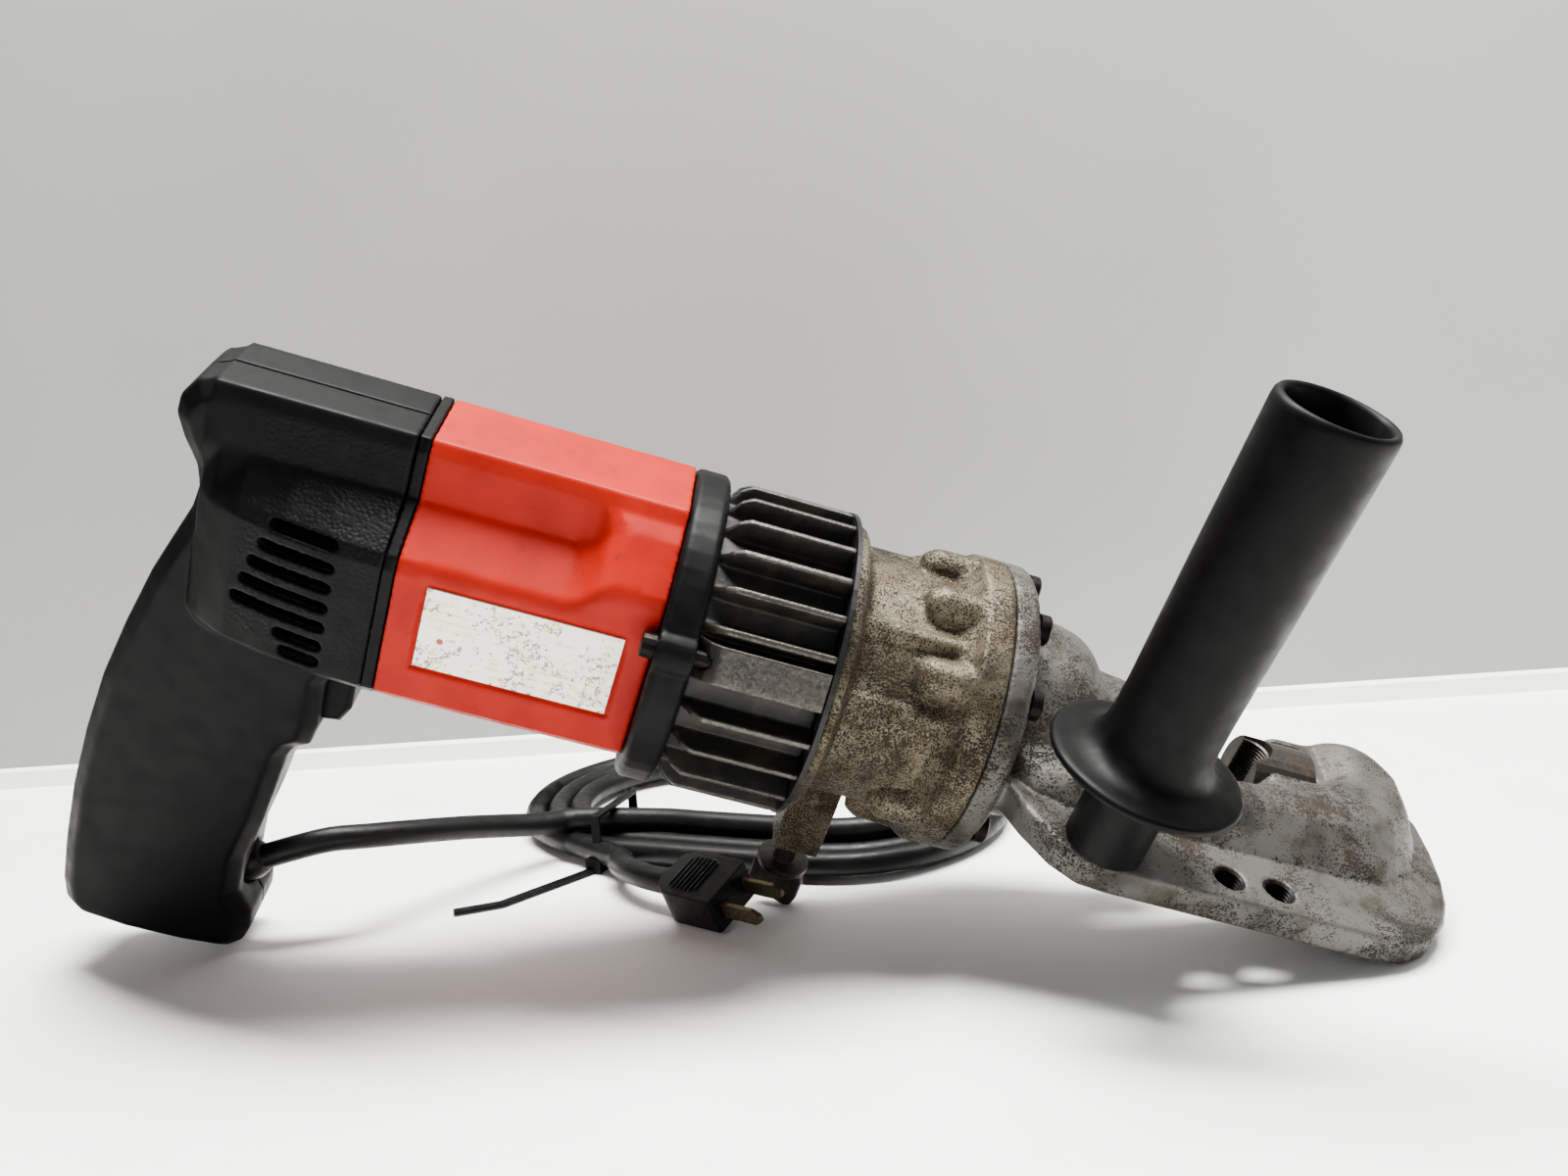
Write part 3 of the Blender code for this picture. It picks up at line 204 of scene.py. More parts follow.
class Look:
    """A Principled material, wired node by node."""

    def __init__(self, name, roughness=0.5, metallic=0.0):
        self.material = bpy.data.materials.new(name)
        self.material.use_nodes = True
        self.tree = self.material.node_tree
        self.shader = self.tree.nodes["Principled BSDF"]
        self.shader.inputs["Roughness"].default_value = roughness
        self.shader.inputs["Metallic"].default_value = metallic
        self.place = None

    def node(self, kind, values=(), **settings):
        made = self.tree.nodes.new(kind)
        for key, value in settings.items():
            setattr(made, key, value)
        for slot, value in zip(made.inputs, values):
            self.feed(slot, value)
        return made

    def feed(self, slot, value):
        if isinstance(value, bpy.types.NodeSocket):
            self.tree.links.new(value, slot)
        elif value is not None:
            slot.default_value = value

    def position(self):
        """The surface point in the tool's own frame, in millimetres."""
        if self.place is None:
            coords = self.node("ShaderNodeTexCoord").outputs["Object"]
            local = self.node("ShaderNodeVectorMath", [coords, tuple(PLACE)], operation="SUBTRACT").outputs[0]
            axes = []
            for k in range(3):
                axis = tuple(TURN.col[k] / MM)
                along = self.node("ShaderNodeVectorMath", [local, axis], operation="DOT_PRODUCT")
                axes.append(along.outputs["Value"])
            self.axes = axes
            self.place = self.node("ShaderNodeCombineXYZ", axes).outputs[0]
        return self.place

    def noise(self, scale, detail=3.0, rough=0.55, stretch=None):
        place = self.position()
        if stretch:
            place = self.node("ShaderNodeVectorMath", [place, stretch], operation="MULTIPLY").outputs[0]
        made = self.node("ShaderNodeTexNoise")
        for key, value in (("Vector", place), ("Scale", scale), ("Detail", detail), ("Roughness", rough)):
            self.feed(made.inputs[key], value)
        return made.outputs["Fac"]

    def cells(self, scale):
        made = self.node("ShaderNodeTexVoronoi")
        self.feed(made.inputs["Vector"], self.position())
        self.feed(made.inputs["Scale"], scale)
        return made.outputs["Distance"]

    def math(self, operation, a, b=None):
        return self.node("ShaderNodeMath", [a, b], operation=operation).outputs[0]

    def step(self, value, low, high, to_low=0.0, to_high=1.0):
        """value taken smoothly from to_low at low to to_high at high."""
        made = self.node("ShaderNodeMapRange", [value, low, high, to_low, to_high],
                         interpolation_type="SMOOTHSTEP")
        return made.outputs[0]

    def mix(self, share, a, b):
        made = self.node("ShaderNodeMix", data_type="RGBA")
        self.feed(made.inputs["Factor"], share)
        for key, value in (("A", a), ("B", b)):
            slot = [s for s in made.inputs if s.name == key and s.type == "RGBA"][0]
            self.feed(slot, value if not isinstance(value, tuple) else (*value, 1.0))
        return [s for s in made.outputs if s.type == "RGBA"][0]

    def bump(self, height, distance, strength=1.0):
        made = self.node("ShaderNodeBump")
        self.feed(made.inputs["Height"], height)
        made.inputs["Distance"].default_value = distance * MM
        made.inputs["Strength"].default_value = strength
        if self.shader.inputs["Normal"].is_linked:
            self.feed(made.inputs["Normal"], self.shader.inputs["Normal"].links[0].from_socket)
        self.feed(self.shader.inputs["Normal"], made.outputs[0])

    def colour(self, value):
        self.feed(self.shader.inputs["Base Color"], value if not isinstance(value, tuple) else (*value, 1.0))

    def set(self, key, value):
        self.feed(self.shader.inputs[key], value)


def orange_plastic():
    """The motor housing's moulding: clean orange-red with grime, scuffs and a few dark chips."""
    look = Look("orange_housing", roughness=0.5)
    look.set("Specular IOR Level", 0.09)
    soft = look.noise(0.05, 3.0)
    base = look.mix(look.step(soft, 0.35, 0.7), (0.27, 0.0042, 0.0008), (0.22, 0.0033, 0.0006))
    grime = look.step(look.noise(0.11, 6.0, 0.7), 0.58, 0.78)
    base = look.mix(look.math("MULTIPLY", grime, 0.55), base, (0.07, 0.007, 0.003))
    scuffs = look.step(look.noise(0.55, 5.0, 0.75, (0.35, 1.0, 1.6)), 0.68, 0.74)
    base = look.mix(look.math("MULTIPLY", scuffs, 0.25), base, (0.40, 0.02, 0.006))
    chips = look.step(look.noise(0.9, 4.0, 0.8), 0.735, 0.76)
    edge = look.step(look.noise(0.06, 2.0), 0.5, 0.6)
    base = look.mix(look.math("MULTIPLY", chips, edge), base, (0.02, 0.005, 0.004))
    look.colour(base)
    look.set("Roughness", look.step(look.noise(0.2, 5.0), 0.3, 0.7, 0.38, 0.54))
    look.bump(look.noise(1.6, 2.0), 0.02, 0.5)
    return look.material


def black_plastic(name="black_moulding", shade=0.0012, grain=0.0, shine=0.42):
    """Black moulding with dust and scratches; grain gives the handle's sides their pebbled texture."""
    look = Look(name, roughness=shine)
    look.set("Specular IOR Level", 0.06)
    dust = look.step(look.noise(0.07, 5.0, 0.65), 0.45, 0.8)
    base = look.mix(look.math("MULTIPLY", dust, 0.5), (shade, shade, shade * 1.15),
                    (shade * 2.2, shade * 2.2, shade * 2.3))
    scratches = look.step(look.noise(0.8, 4.0, 0.8, (0.2, 1.0, 1.3)), 0.70, 0.76)
    base = look.mix(look.math("MULTIPLY", scratches, 0.25), base, (0.02, 0.02, 0.021))
    look.colour(base)
    look.set("Roughness", look.step(look.noise(0.15, 4.0), 0.3, 0.7, shine - 0.06, shine + 0.1))
    look.bump(look.noise(2.2, 3.0), 0.03, 0.6)
    if grain:
        look.position()
        x, _, z = look.axes
        above = look.step(z, -24.0, -20.0)
        ahead = look.step(x, -50.0, -44.0)
        below_top = look.step(z, 44.0, 47.5, 1.0, 0.0)
        mask = look.math("MULTIPLY", look.math("MULTIPLY", above, ahead), below_top)
        pebble = look.step(look.cells(0.75), 0.1, 0.75)
        look.bump(look.math("MULTIPLY", pebble, mask), grain, 0.9)
    return look.material


def cast_metal(name, bright, dark, rust, coverage, patchy, shine, fine_scale, contrast):
    """A weathered casting: bright skin showing through fine dark speckle, with painted shade darkening its
    hollows and its convex edges made lighter.
    """
    look = Look(name, roughness=shine, metallic=0.4)

    def swing(scale, rough, amount):
        return look.math("MULTIPLY", look.math("SUBTRACT", look.noise(scale, 4.0, rough), 0.5), amount)

    fine = swing(fine_scale, 0.7, contrast)
    mid = swing(0.30, 0.6, 0.5)
    patch = swing(0.045, 0.6, patchy)
    level = look.math("ADD", look.math("ADD", fine, 0.5), look.math("ADD", mid, patch))
    cavity_shading = look.node("ShaderNodeNewGeometry").outputs["Pointiness"]
    # Painted shade: low pointiness in hollows and creases pushes the level towards the dark speckle. High
    # pointiness on convex edges pulls it back, so the edges come out lighter.
    level = look.math("ADD", level, look.step(cavity_shading, 0.42, 0.495, 0.22, 0.0))
    level = look.math("SUBTRACT", level, look.step(cavity_shading, 0.51, 0.58, 0.0, 0.14))
    speck = look.step(level, coverage - 0.05, coverage + 0.06)
    tint = look.step(look.noise(0.09, 4.0, 0.6), 0.44, 0.60)
    dark_tone = look.mix(tint, dark, rust)
    light_tone = look.mix(look.step(look.noise(0.10, 5.0), 0.46, 0.70), bright,
                          (0.55 * bright[0], 0.48 * bright[1], 0.38 * bright[2]))
    base = look.mix(speck, light_tone, dark_tone)
    oil = look.step(look.noise(0.035, 3.0, 0.5), 0.53, 0.68)
    base = look.mix(look.math("MULTIPLY", oil, 0.55), base, tuple(0.8 * c for c in dark))
    look.colour(base)
    look.set("Metallic", look.step(speck, 0.0, 1.0, 0.5, 0.05))
    look.set("Roughness", look.step(speck, 0.0, 1.0, shine, 0.75))
    look.set("Specular IOR Level", 0.15)
    look.bump(level, 0.20, 0.6)
    look.bump(look.noise(0.30, 3.0), 0.45, 0.5)
    return look.material


def finned_metal():
    """Dark oily casting, rubbed through to bright metal along the fin tips."""
    look = Look("finned_case", roughness=0.5, metallic=0.3)
    look.position()
    _, y, z = look.axes
    reach = look.math("SQRT", look.math("ADD", look.math("MULTIPLY", y, y), look.math("MULTIPLY", z, z)))
    ragged = look.math("MULTIPLY", look.noise(0.7, 5.0, 0.7), 2.6)
    worn = look.step(look.math("ADD", reach, ragged), *FIN_TIP_REACH)
    specks = look.step(look.noise(1.4, 4.0, 0.75), 0.58, 0.70)
    worn = look.math("MAXIMUM", worn, look.math("MULTIPLY", specks, 0.10))
    metal = look.mix(look.noise(1.2, 4.0), (0.008, 0.007, 0.005), (0.10, 0.095, 0.085))
    dirt = look.mix(look.step(look.noise(0.12, 4.0), 0.42, 0.62), (0.0022, 0.0022, 0.002),
                    (0.012, 0.009, 0.005))
    look.colour(look.mix(worn, dirt, metal))
    look.set("Metallic", look.step(worn, 0.0, 1.0, 0.1, 0.8))
    look.set("Roughness", look.step(worn, 0.0, 1.0, 0.55, 0.40))
    look.set("Specular IOR Level", 0.3)
    look.bump(look.noise(0.9, 4.0), 0.25, 0.6)
    return look.material


def steel(name, tone, shine, wear=0.3, rust=0.0):
    """Machined metal with drawn marks, and brown spots where there is rust."""
    look = Look(name, roughness=shine, metallic=0.9)
    marks = look.noise(0.9, 5.0, 0.7, (1.0, 1.0, 0.3))
    base = look.mix(look.math("MULTIPLY", look.step(marks, 0.35, 0.7), wear), tone,
                    tuple(0.3 * c for c in tone))
    if rust:
        spots = look.step(look.noise(0.35, 5.0, 0.7), 0.52, 0.66)
        base = look.mix(look.math("MULTIPLY", spots, rust), base, (0.11, 0.045, 0.02))
    look.colour(base)
    look.set("Roughness", look.step(marks, 0.3, 0.7, shine - 0.06, shine + 0.12))
    look.bump(marks, 0.06, 0.5)
    return look.material


def rubber(name="lead_rubber", shade=0.0012):
    look = Look(name, roughness=0.40)
    look.set("Specular IOR Level", 0.16)
    base = look.mix(look.step(look.noise(0.08, 4.0), 0.4, 0.75), (shade, shade, shade * 1.05),
                    (shade * 2.2, shade * 2.2, shade * 2.25))
    look.colour(base)
    look.set("Roughness", look.step(look.noise(0.3, 4.0), 0.3, 0.7, 0.36, 0.52))
    look.bump(look.noise(1.2, 3.0), 0.05, 0.5)
    return look.material


def white_plate():
    """A blank printed plate: worn white, with faint yellow ruled bands, dark scuffs and a red dot."""
    look = Look("rating_plate_face", roughness=0.4)
    look.position()
    _, _, z = look.axes
    rows = look.math("MULTIPLY", look.step(look.math("SINE", look.math("MULTIPLY", z, 2.1)), 0.3, 0.8),
                     look.step(look.noise(0.16, 3.0, 0.6, (1.0, 1.0, 0.5)), 0.47, 0.58))
    base = look.mix(look.math("MULTIPLY", rows, 0.7), (0.85, 0.84, 0.76), (0.75, 0.68, 0.12))
    stain = look.step(look.noise(0.08, 4.0), 0.5, 0.8)
    base = look.mix(look.math("MULTIPLY", stain, 0.4), base, (0.50, 0.46, 0.26))
    zone = look.step(look.noise(0.09, 2.0), 0.50, 0.56)
    rings = look.math("ABSOLUTE", look.math("SUBTRACT", look.noise(0.42, 3.0, 0.6), 0.575))
    scuff = look.math("MULTIPLY", look.step(rings, 0.022, 0.040, 1.0, 0.0), zone)
    spots = look.step(look.noise(0.55, 3.0, 0.7), 0.63, 0.66)
    scuff = look.math("MAXIMUM", scuff, spots)
    base = look.mix(look.math("MULTIPLY", scuff, 0.80), base, (0.030, 0.024, 0.012))
    dot = look.node("ShaderNodeVectorMath", [look.position(), RED_DOT], operation="DISTANCE")
    base = look.mix(look.step(dot.outputs["Value"], 1.1, 1.3, 1.0, 0.0), base, (0.30, 0.006, 0.004))
    look.colour(base)
    look.set("Roughness", look.step(scuff, 0.0, 1.0, 0.34, 0.7))
    look.bump(scuff, -0.05, 0.5)
    return look.material


def make_looks():
    """Every material, by its slot in the record or by the piece that has its own."""
    return {
        "orange_plastic": orange_plastic(),
        "black_plastic": black_plastic(),
        "cast_metal": cast_metal("head_casting", (0.068, 0.067, 0.061), (0.0045, 0.004, 0.003),
                                 (0.014, 0.009, 0.0055), coverage=0.555, patchy=1.0, shine=0.45,
                                 fine_scale=1.4, contrast=1.3),
        "cylinder_metal": cast_metal("cylinder_casting", (0.092, 0.078, 0.052), (0.0030, 0.0022, 0.0011),
                                     (0.014, 0.0085, 0.0032), coverage=0.485, patchy=0.8, shine=0.40,
                                     fine_scale=1.6, contrast=2.0),
        "finned_metal": finned_metal(),
        "bracket_metal": black_plastic("bracket_paint", 0.0012, 0.0, 0.46),
        "tool_steel": steel("tool_steel", (0.045, 0.042, 0.035), 0.40, 0.7, 0.35),
        "screw_steel": steel("screw_steel", (0.003, 0.003, 0.003), 0.45, 0.4, 0.15),
        "laminations": steel("laminations", (0.20, 0.20, 0.21), 0.5, 0.5),
        "copper": steel("copper", (0.45, 0.18, 0.07), 0.32, 0.3),
        "bright_steel": steel("bright_steel", (0.40, 0.40, 0.40), 0.26, 0.3),
        "brass": steel("brass", (0.15, 0.12, 0.065), 0.38, 0.6),
        "carbon": black_plastic("carbon_black", 0.01, 0.0, 0.6),
        "oil_rubber": rubber("oil_rubber", 0.004),
        "cord_rubber": rubber(),
        "white_plate": white_plate(),
        "handle_plastic": black_plastic("handle_moulding", 0.0013, 0.10, 0.47),
        "side_plastic": black_plastic("side_handle_moulding", 0.0008, 0.0, 0.44),
    }


# ---------------------------------------------------------------- mains lead

def stadium_point(share, offset):
    """A point on the coil in plan, share 0 to 1 from the tie round through the right-hand end."""
    (ax, ay), (bx, by) = COIL_ENDS
    run = math.dist(COIL_ENDS[0], COIL_ENDS[1])
    heading = math.atan2(by - ay, bx - ax)
    radius = COIL_RADIUS + offset
    curve = math.pi * COIL_RADIUS
    along = (share % 1.0) * 2 * (run + curve)
    dx, dy = math.cos(heading), math.sin(heading)
    if along < run:
        return (ax + dx * along + dy * radius, ay + dy * along - dx * radius)
    along -= run
    if along < curve:
        turn = heading - math.pi / 2 + along / COIL_RADIUS
        return (bx + radius * math.cos(turn), by + radius * math.sin(turn))
    along -= curve
    if along < run:
        return (bx - dx * along - dy * radius, by - dy * along + dx * radius)
    turn = heading + math.pi / 2 + (along - run) / COIL_RADIUS
    return (ax + radius * math.cos(turn), ay + radius * math.sin(turn))


def between(values, place):
    """The value of each turn, changed to the next turn's along the hidden far run."""
    turn = min(int(place), len(values) - 1)
    later = min(turn + 1, len(values) - 1)
    share = min(1.0, max(0.0, ((place % 1.0) - 0.42) / 0.36))
    share = share * share * (3 - 2 * share)
    return values[turn] + (values[later] - values[turn]) * share


def coil_points():
    """The coil's turns from just after the tie to just before it."""
    points = []
    steps = 30
    for k in range(1, TURNS * steps - 1):
        place = k / steps
        x, y = stadium_point(place, between(TURN_OFFSETS, place))
        points.append((x, y, between(TURN_HEIGHTS, place)))
    return points


def smoothed(points, per_span):
    """A Catmull-Rom curve through the points, even in the parameter."""
    route = [Vector(p) for p in points]
    ends = [2 * route[0] - route[1]] + route + [2 * route[-1] - route[-2]]
    curve = []
    for a, b, c, d in zip(ends, ends[1:], ends[2:], ends[3:]):
        for k in range(per_span):
            t = k / per_span
            curve.append(0.5 * (2 * b + (c - a) * t + (2 * a - 5 * b + 4 * c - d) * t ** 2
                                + (3 * b - a - 3 * c + d) * t ** 3))
    return curve + [route[-1]]


def tube(name, points, radius, look):
    """A round curve through points in world millimetres."""
    curve = bpy.data.curves.new(name, "CURVE")
    curve.dimensions = "3D"
    curve.bevel_depth = radius * MM
    curve.bevel_resolution = 4
    curve.use_fill_caps = True
    spline = curve.splines.new("POLY")
    spline.points.add(len(points) - 1)
    for slot, p in zip(spline.points, points):
        slot.co = (p[0] * MM, p[1] * MM, p[2] * MM, 1.0)
    spline.use_smooth = True
    curve.materials.append(look)
    obj = bpy.data.objects.new(name, curve)
    bpy.context.scene.collection.objects.link(obj)
    return obj


def make_lead(looks):
    """The whole lead as one curve from the grip to the plug, and its length in metres."""
    route = smoothed(LEAD + INTO_COIL + coil_points() + TAIL, 3)
    length = sum((b - a).length for a, b in zip(route, route[1:])) * MM
    lead = tube("mains_lead", route, CORD_DIAMETER / 2, looks["cord_rubber"])
    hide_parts("cord_lead", "cord_coil", "cord_tail")
    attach(lead, "tool_body")
    return lead, length


def make_sleeve(looks):
    """The tapered sleeve round the lead, on the cord's line out of the grip."""
    profile = [(-14.0, 7.4), (-12.0, 9.0), (-10.0, 9.0), (-9.4, 7.2), (-1.0, 7.2), (0.6, 7.0), (2.8, 6.0),
               (3.6, 5.2)]
    bm = loft([ring_x(x, r, 40) for x, r in profile])
    place = TO_WORLD @ Matrix.Translation(CORD_HOLE) @ Matrix.Rotation(-CORD_RISE, 4, "Y")
    return piece("lead_sleeve", bm, looks["cord_rubber"], "tool_body", ["cord_sleeve"], place)


def make_plug(looks):
    """A moulded two-blade plug with finger ribs on both wide faces, lying on one long edge."""
    neck = loft([ring_x(x, r, 32) for x, r in ((0.0, 4.9), (0.8, 5.6), (3.0, 5.9), (3.2, 5.2), (9.0, 5.2))])
    half = [(3.8, 6.0), (5.0, 8.2), (9.0, 10.8), (11.0, 11.1), (30.4, 11.1), (31.6, 10.2)]
    outline = [(x, -y) for x, y in half] + [(x, y) for x, y in reversed(half)]
    body = loft([[(x, y, z) for x, y in outline] for z in (-7.1, 7.1)])
    parts = [neck, body]
    for face in (-1.0, 1.0):
        for k in range(7):
            x = 9.6 + 2.0 * k
            z0, z1 = sorted((face * 6.0, face * 7.9))
            reach = 8.0 if 0 < k < 6 else 6.8
            parts.append(bar(x, x + 1.05, -reach, reach, z0, z1))
    mesh = bpy.data.meshes.new("plug")
    merged(*parts).to_mesh(mesh)
    mesh = shaped(
        mesh,
        ("REMESH", {"mode": "VOXEL", "voxel_size": 0.28}),
        ("SMOOTH", {"factor": 0.5, "iterations": 3}),
        ("DECIMATE", {"ratio": 0.3}),
    )
    turn = Matrix.Rotation(PLUG_TURN[2], 4, "Z") @ Matrix.Rotation(PLUG_TURN[1], 4, "Y") \
        @ Matrix.Rotation(PLUG_TURN[0], 4, "X")
    mesh.transform(Matrix.Translation(Vector(PLUG_REAR) * MM) @ turn @ Matrix.Scale(MM, 4))
    return finish_piece("mains_plug", mesh, looks["cord_rubber"], "tool_body", ["plug_body"],
                        sharp=0.0)


# ---------------------------------------------------------------- screws and handle

def socket_screw(x, centre, radius, height, look, name, node):
    """A cap screw's head and shank with a hexagon socket, pointing along the tool's x."""
    y, z = centre
    steps = 36
    turns = [2 * math.pi * k / steps for k in range(steps)]

    def hexagon(at):
        return [(at, y - hexagon_radius(2.5, t) * math.sin(t), z + hexagon_radius(2.5, t) * math.cos(t))
                for t in turns]

    rings = [ring_x(x - 19.0, 3.0, steps, y, z), ring_x(x, 3.0, steps, y, z), ring_x(x, radius, steps, y, z),
             ring_x(x + height - 0.6, radius, steps, y, z), ring_x(x + height, radius - 0.7, steps, y, z),
             hexagon(x + height), hexagon(x + height - 2.6)]
    return piece(name, loft(rings), look, "tool_body", [node])


def make_screws(looks):
    for number, degrees in enumerate(SCREW_ANGLES, 1):
        turn = math.radians(degrees)
        centre = (-SCREW_CIRCLE * math.sin(turn), SCREW_CIRCLE * math.cos(turn))
        socket_screw(SCREW_SEAT, centre, 4.9, 3.8, looks["screw_steel"], "cap_screw_%d" % number,
                     "head_screw_%d" % number)


def make_side_handle(looks):
    """The moulded tube handle: collar, thumb guard with a thin rounded rim, and an open, flared tube."""
    outer = [(5.5, 11.4), (6.2, 12.0), (32.6, 12.0), (33.6, 13.5), (34.2, 17.0), (34.3, 26.4), (34.6, 28.0),
             (35.2, 28.8), (36.0, 29.0), (36.8, 28.8), (37.3, 28.0), (37.6, 26.4), (37.9, 24.0), (38.5, 21.6),
             (39.5, 19.6), (41.0, 18.0), (43.0, 16.9), (46.0, 16.1), (50.0, 15.7), (60.0, 15.6), (100.0, 16.2),
             (147.0, 16.8), (148.8, 16.6), (149.8, 16.0), (150.0, 15.3), (149.7, 14.5), (148.6, 13.9),
             (140.0, 13.4), (60.0, 12.2), (44.0, 12.0), (43.0, 10.0)]
    bm = loft([ring_z(z, r, 96, HANDLE_X, HANDLE_Y) for z, r in outer])
    return piece("side_grip", bm, looks["side_plastic"], "tool_body", ["side_handle"],
                 sharp=50.0)


def make_hole_threads(looks):
    """The threads in the two spare handle holes, each one a ribbed sleeve lining the bore."""
    for number, x in enumerate(SPARE_HOLES, 1):
        profile = [(-4.7, 5.2)]
        for k in range(8):
            z = -4.4 + 1.15 * k
            profile += [(z, 4.9), (z + 0.55, 4.25)]
        profile += [(4.7, 4.9), (4.7, 5.2)]
        bm = loft([ring_z(z, r, 40, x, HANDLE_Y) for z, r in profile], loop=True)
        piece("seat_thread_%d" % number, bm, looks["screw_steel"], "tool_body")


def make_die_threads(looks):
    """The half-nut teeth in the dies' grooves, so that threaded rod isn't crushed."""
    for name, face, side, body in (("fixed_teeth", FIXED_DIE_FACE, 1.0, "tool_body"),
                                   ("moving_teeth", MOVING_DIE_FACE, -1.0, "ram")):
        teeth = []
        for k in range(19):
            z = -10.8 + 1.2 * k
            width = math.sqrt(max(0.0, DIE_RADIUS ** 2 - z * z))
            if width < 8.2:
                continue
            rings = []
            for s in range(17):
                turn = math.pi * (s / 16 - 0.5)
                dx, dy = side * math.cos(turn), math.sin(turn)
                rings.append([(face + dx * r, dy * r, z + h)
                              for r, h in ((7.2, -0.55), (6.2, 0.0), (7.2, 0.55))])
            teeth.append(loft(rings))
        piece(name, merged(*teeth), looks["tool_steel"], body)


# ---------------------------------------------------------------- stage

def one_sided(look):
    """Lets rays through from behind, so that the wall doesn't hide the tool's back."""
    clear = look.node("ShaderNodeBsdfTransparent")
    behind = look.node("ShaderNodeNewGeometry").outputs["Backfacing"]
    blend = look.node("ShaderNodeMixShader", [behind, look.shader.outputs[0], clear.outputs[0]])
    look.feed(look.tree.nodes["Material Output"].inputs["Surface"], blend.outputs[0])


def upright_sheet(x0, x1, z0, z1):
    """One flat face that looks towards the camera."""
    bm = bmesh.new()
    corners = ((x0, 0.0, z0), (x1, 0.0, z0), (x1, 0.0, z1), (x0, 0.0, z1))
    bm.faces.new([bm.verts.new(p) for p in corners])
    return bm


def make_stage():
    """A pale work surface, a plain wall behind it and the rail where they meet."""
    surface = Look("pale_surface", roughness=0.55)
    surface.colour(surface.mix(surface.step(surface.noise(0.012, 4.0), 0.3, 0.8), (0.90, 0.895, 0.875),
                               (0.84, 0.835, 0.815)))
    wall = Look("pale_wall", roughness=0.8)
    wall.colour(wall.mix(wall.step(wall.noise(0.004, 2.0), 0.3, 0.7), (0.28, 0.28, 0.27),
                         (0.255, 0.255, 0.247)))
    one_sided(wall)
    rail = Look("pale_rail", roughness=0.45)
    rail.colour((0.90, 0.91, 0.86))
    skew = Matrix.Translation((0.0, WALL_DISTANCE, 0.0)) @ Matrix.Rotation(WALL_SKEW, 4, "Z")
    for name, look, bm in (
        ("floor", surface, bar(-3.0, 3.0, -2.5, 2.5, -0.02, 0.0)),
        ("wall", wall, upright_sheet(-3.0, 3.0, 0.0, 1.8)),
        ("rail", rail, bar(-3.0, 3.0, -0.008, 0.0, 0.0, 0.009)),
    ):
        mesh = bpy.data.meshes.new(name)
        bm.to_mesh(mesh)
        bm.free()
        mesh.transform(skew)
        mesh.materials.append(look.material)
        obj = bpy.data.objects.new(name, mesh)
        bpy.context.scene.collection.objects.link(obj)


def area_light(name, place, target, size, power, tint=(1.0, 1.0, 1.0)):
    data = bpy.data.lights.new(name, "AREA")
    data.shape = "RECTANGLE"
    data.size, data.size_y = size
    data.energy = power
    data.color = tint
    lamp = bpy.data.objects.new(name, data)
    lamp.location = place
    lamp.rotation_euler = (Vector(target) - Vector(place)).to_track_quat("-Z", "Y").to_euler()
    bpy.context.scene.collection.objects.link(lamp)


def make_light():
    """A wide soft light above and behind the tool, with a little fill from the front and the side."""
    area_light("ceiling_light", (0.05, 0.14, 1.20), (0.0, 0.05, 0.0), (1.15, 0.34), 136.0, (1.0, 0.99, 0.965))
    area_light("side_light", (1.2, -0.15, 0.8), (0.1, 0.0, 0.1), (0.6, 0.6), 4.0)
    area_light("front_fill", (-0.7, -1.2, 0.9), (0.0, 0.0, 0.05), (1.0, 0.8), 5.0)
    world = bpy.data.worlds.new("studio")
    world.use_nodes = True
    background = world.node_tree.nodes["Background"]
    background.inputs["Color"].default_value = (0.93, 0.95, 1.0, 1.0)
    background.inputs["Strength"].default_value = 0.10
    bpy.context.scene.world = world


def make_camera():
    """The camera low in front of the tool, turned by its yaw, pitch and roll in that order."""
    yaw, pitch, roll = CAMERA_YAW, CAMERA_PITCH, CAMERA_ROLL
    right = Vector((math.cos(yaw), math.sin(yaw), 0.0))
    ahead = Vector((-math.sin(yaw), math.cos(yaw), 0.0))
    up = Vector((0.0, 0.0, 1.0))
    view = ahead * math.cos(pitch) - up * math.sin(pitch)
    above = up * math.cos(pitch) + ahead * math.sin(pitch)
    across = right * math.cos(roll) + above * math.sin(roll)
    above = above * math.cos(roll) - right * math.sin(roll)
    data = bpy.data.cameras.new("view")
    data.sensor_width = 36.0
    data.lens = CAMERA_LENS
    data.clip_start = 0.01
    camera = bpy.data.objects.new("view", data)
    turn = Matrix((across, above, -view)).transposed()
    camera.matrix_world = Matrix.Translation(CAMERA_PLACE) @ turn.to_4x4()
    bpy.context.scene.collection.objects.link(camera)
    bpy.context.scene.camera = camera


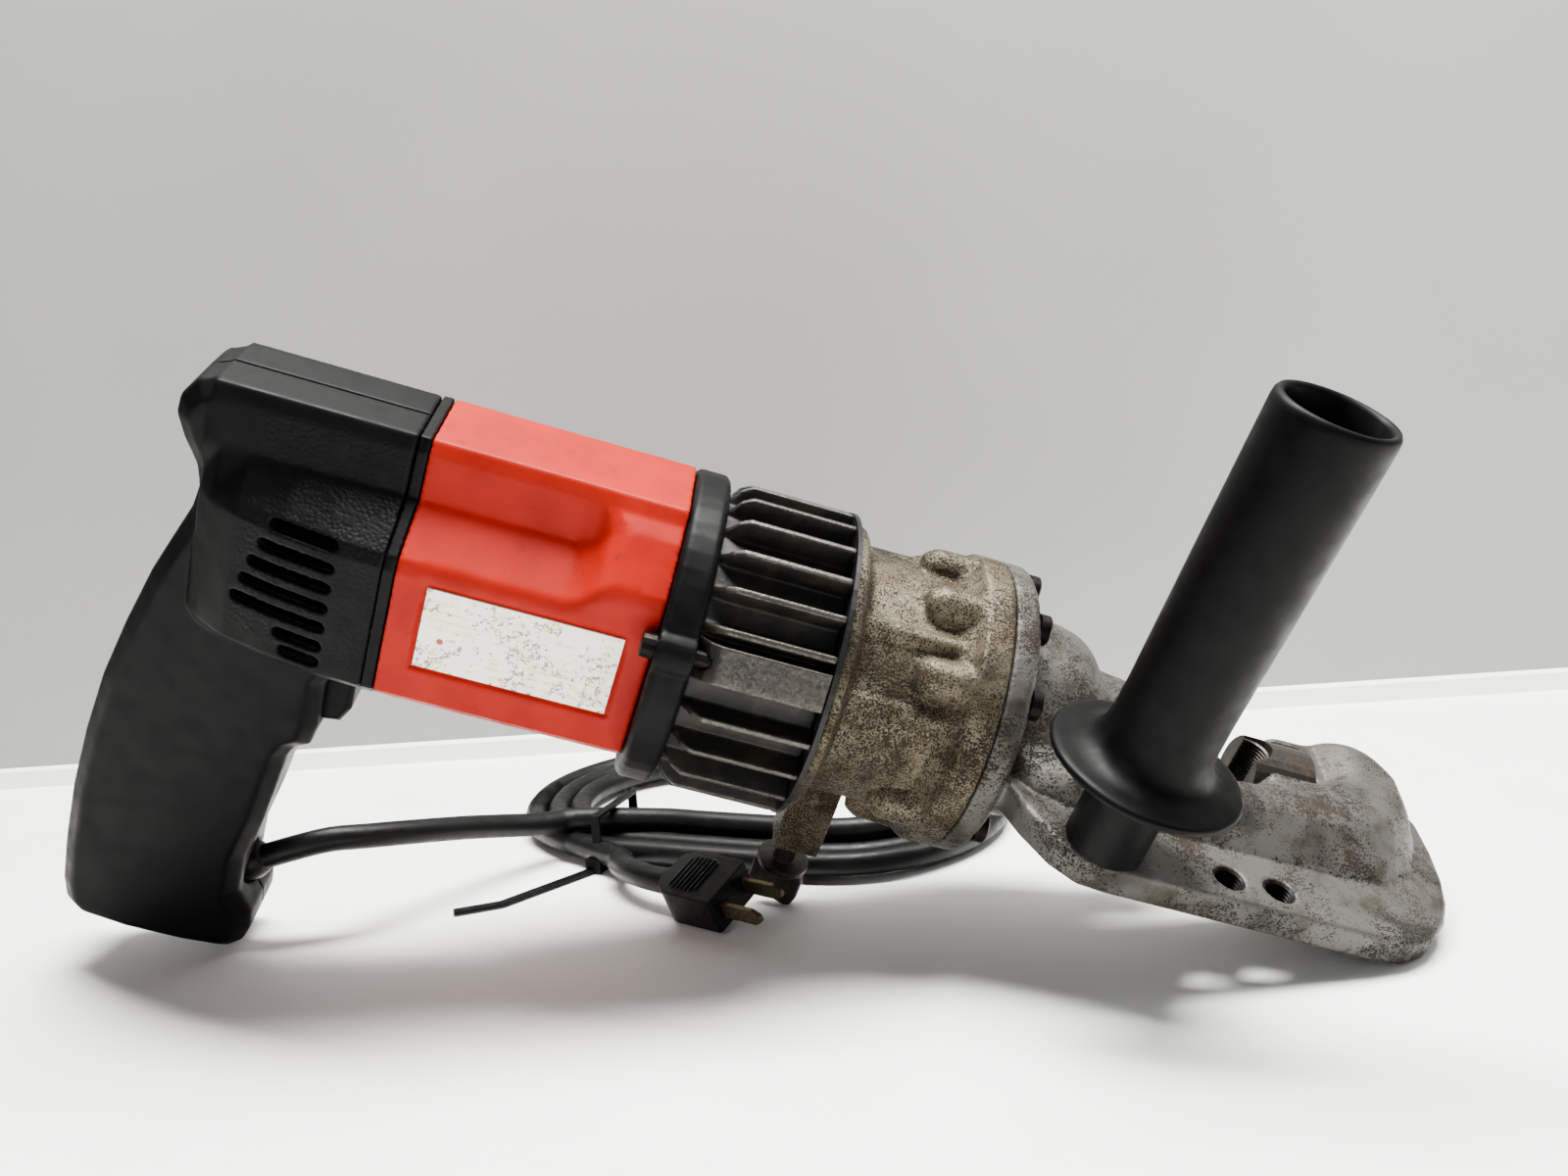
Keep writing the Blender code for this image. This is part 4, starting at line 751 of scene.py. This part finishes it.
# ---------------------------------------------------------------- the whole scene

def dress_nodes(looks):
    """Every CAD node that stays in view gets its slot's procedural material."""
    for row in frame["record"]["subparts"]:
        node = NODES[row["node"]]
        node.data.materials.clear()
        node.data.materials.append(looks[row["material_slot"]])


def make_castings(looks):
    softened("head_frame", "cutting_head", looks["cast_metal"], "tool_body", 0.8, 5, 0.4,
             soft=lambda p: abs(p.z) > 7.0 and p.x > 193.0 and math.hypot(p.y, p.z) > 16.5, more=140)
    softened("cylinder_housing", "ram_cylinder", looks["cylinder_metal"], "tool_body",
             0.7, 3, 0.35, soft=lambda p: p.z > -50.0 and p.x < 181.0, more=8)
    softened("pump_case", "fin_case", looks["finned_metal"], "tool_body", 0.5, 3, 0.3)
    softened("front_bracket", "bracket_ring", looks["bracket_metal"], "tool_body", 0.6, 3, 0.3)
    softened("release_key", "wing_key", looks["tool_steel"], "release_key", 0.3, 3, 0.3)


def make_mouldings(looks):
    softened("motor_housing", "motor_shell", looks["orange_plastic"], "tool_body",
             0.7, 3, 0.35, soft=lambda p: 6.0 < p.x < 70.0 and 8.0 < p.z < 43.0 and abs(p.y) > 8.0, more=26)
    for node, name in (("handle_right_half", "grip_right"), ("handle_left_half", "grip_left")):
        softened(node, name, looks["handle_plastic"], "tool_body", 0.6, 2, 0.35,
                 soft=lambda p: abs(p.y) > 1.2 and (p.z < -29.0 or p.x < -52.0 or p.z > 26.0), more=22)
    softened("rear_bracket", "rear_band", looks["black_plastic"], "tool_body", 0.5, 1, 0.4)
    softened("trigger", "trigger_key", looks["black_plastic"], "trigger", 0.4, 4, 0.5)


make_camera()
make_light()
make_stage()
LOOKS = make_looks()
dress_nodes(LOOKS)
LEAD_OBJECT, LEAD_LENGTH = make_lead(LOOKS)
SLEEVE = make_sleeve(LOOKS)
PLUG = make_plug(LOOKS)
make_castings(LOOKS)
make_mouldings(LOOKS)
make_screws(LOOKS)
make_side_handle(LOOKS)
make_die_threads(LOOKS)
make_hole_threads(LOOKS)
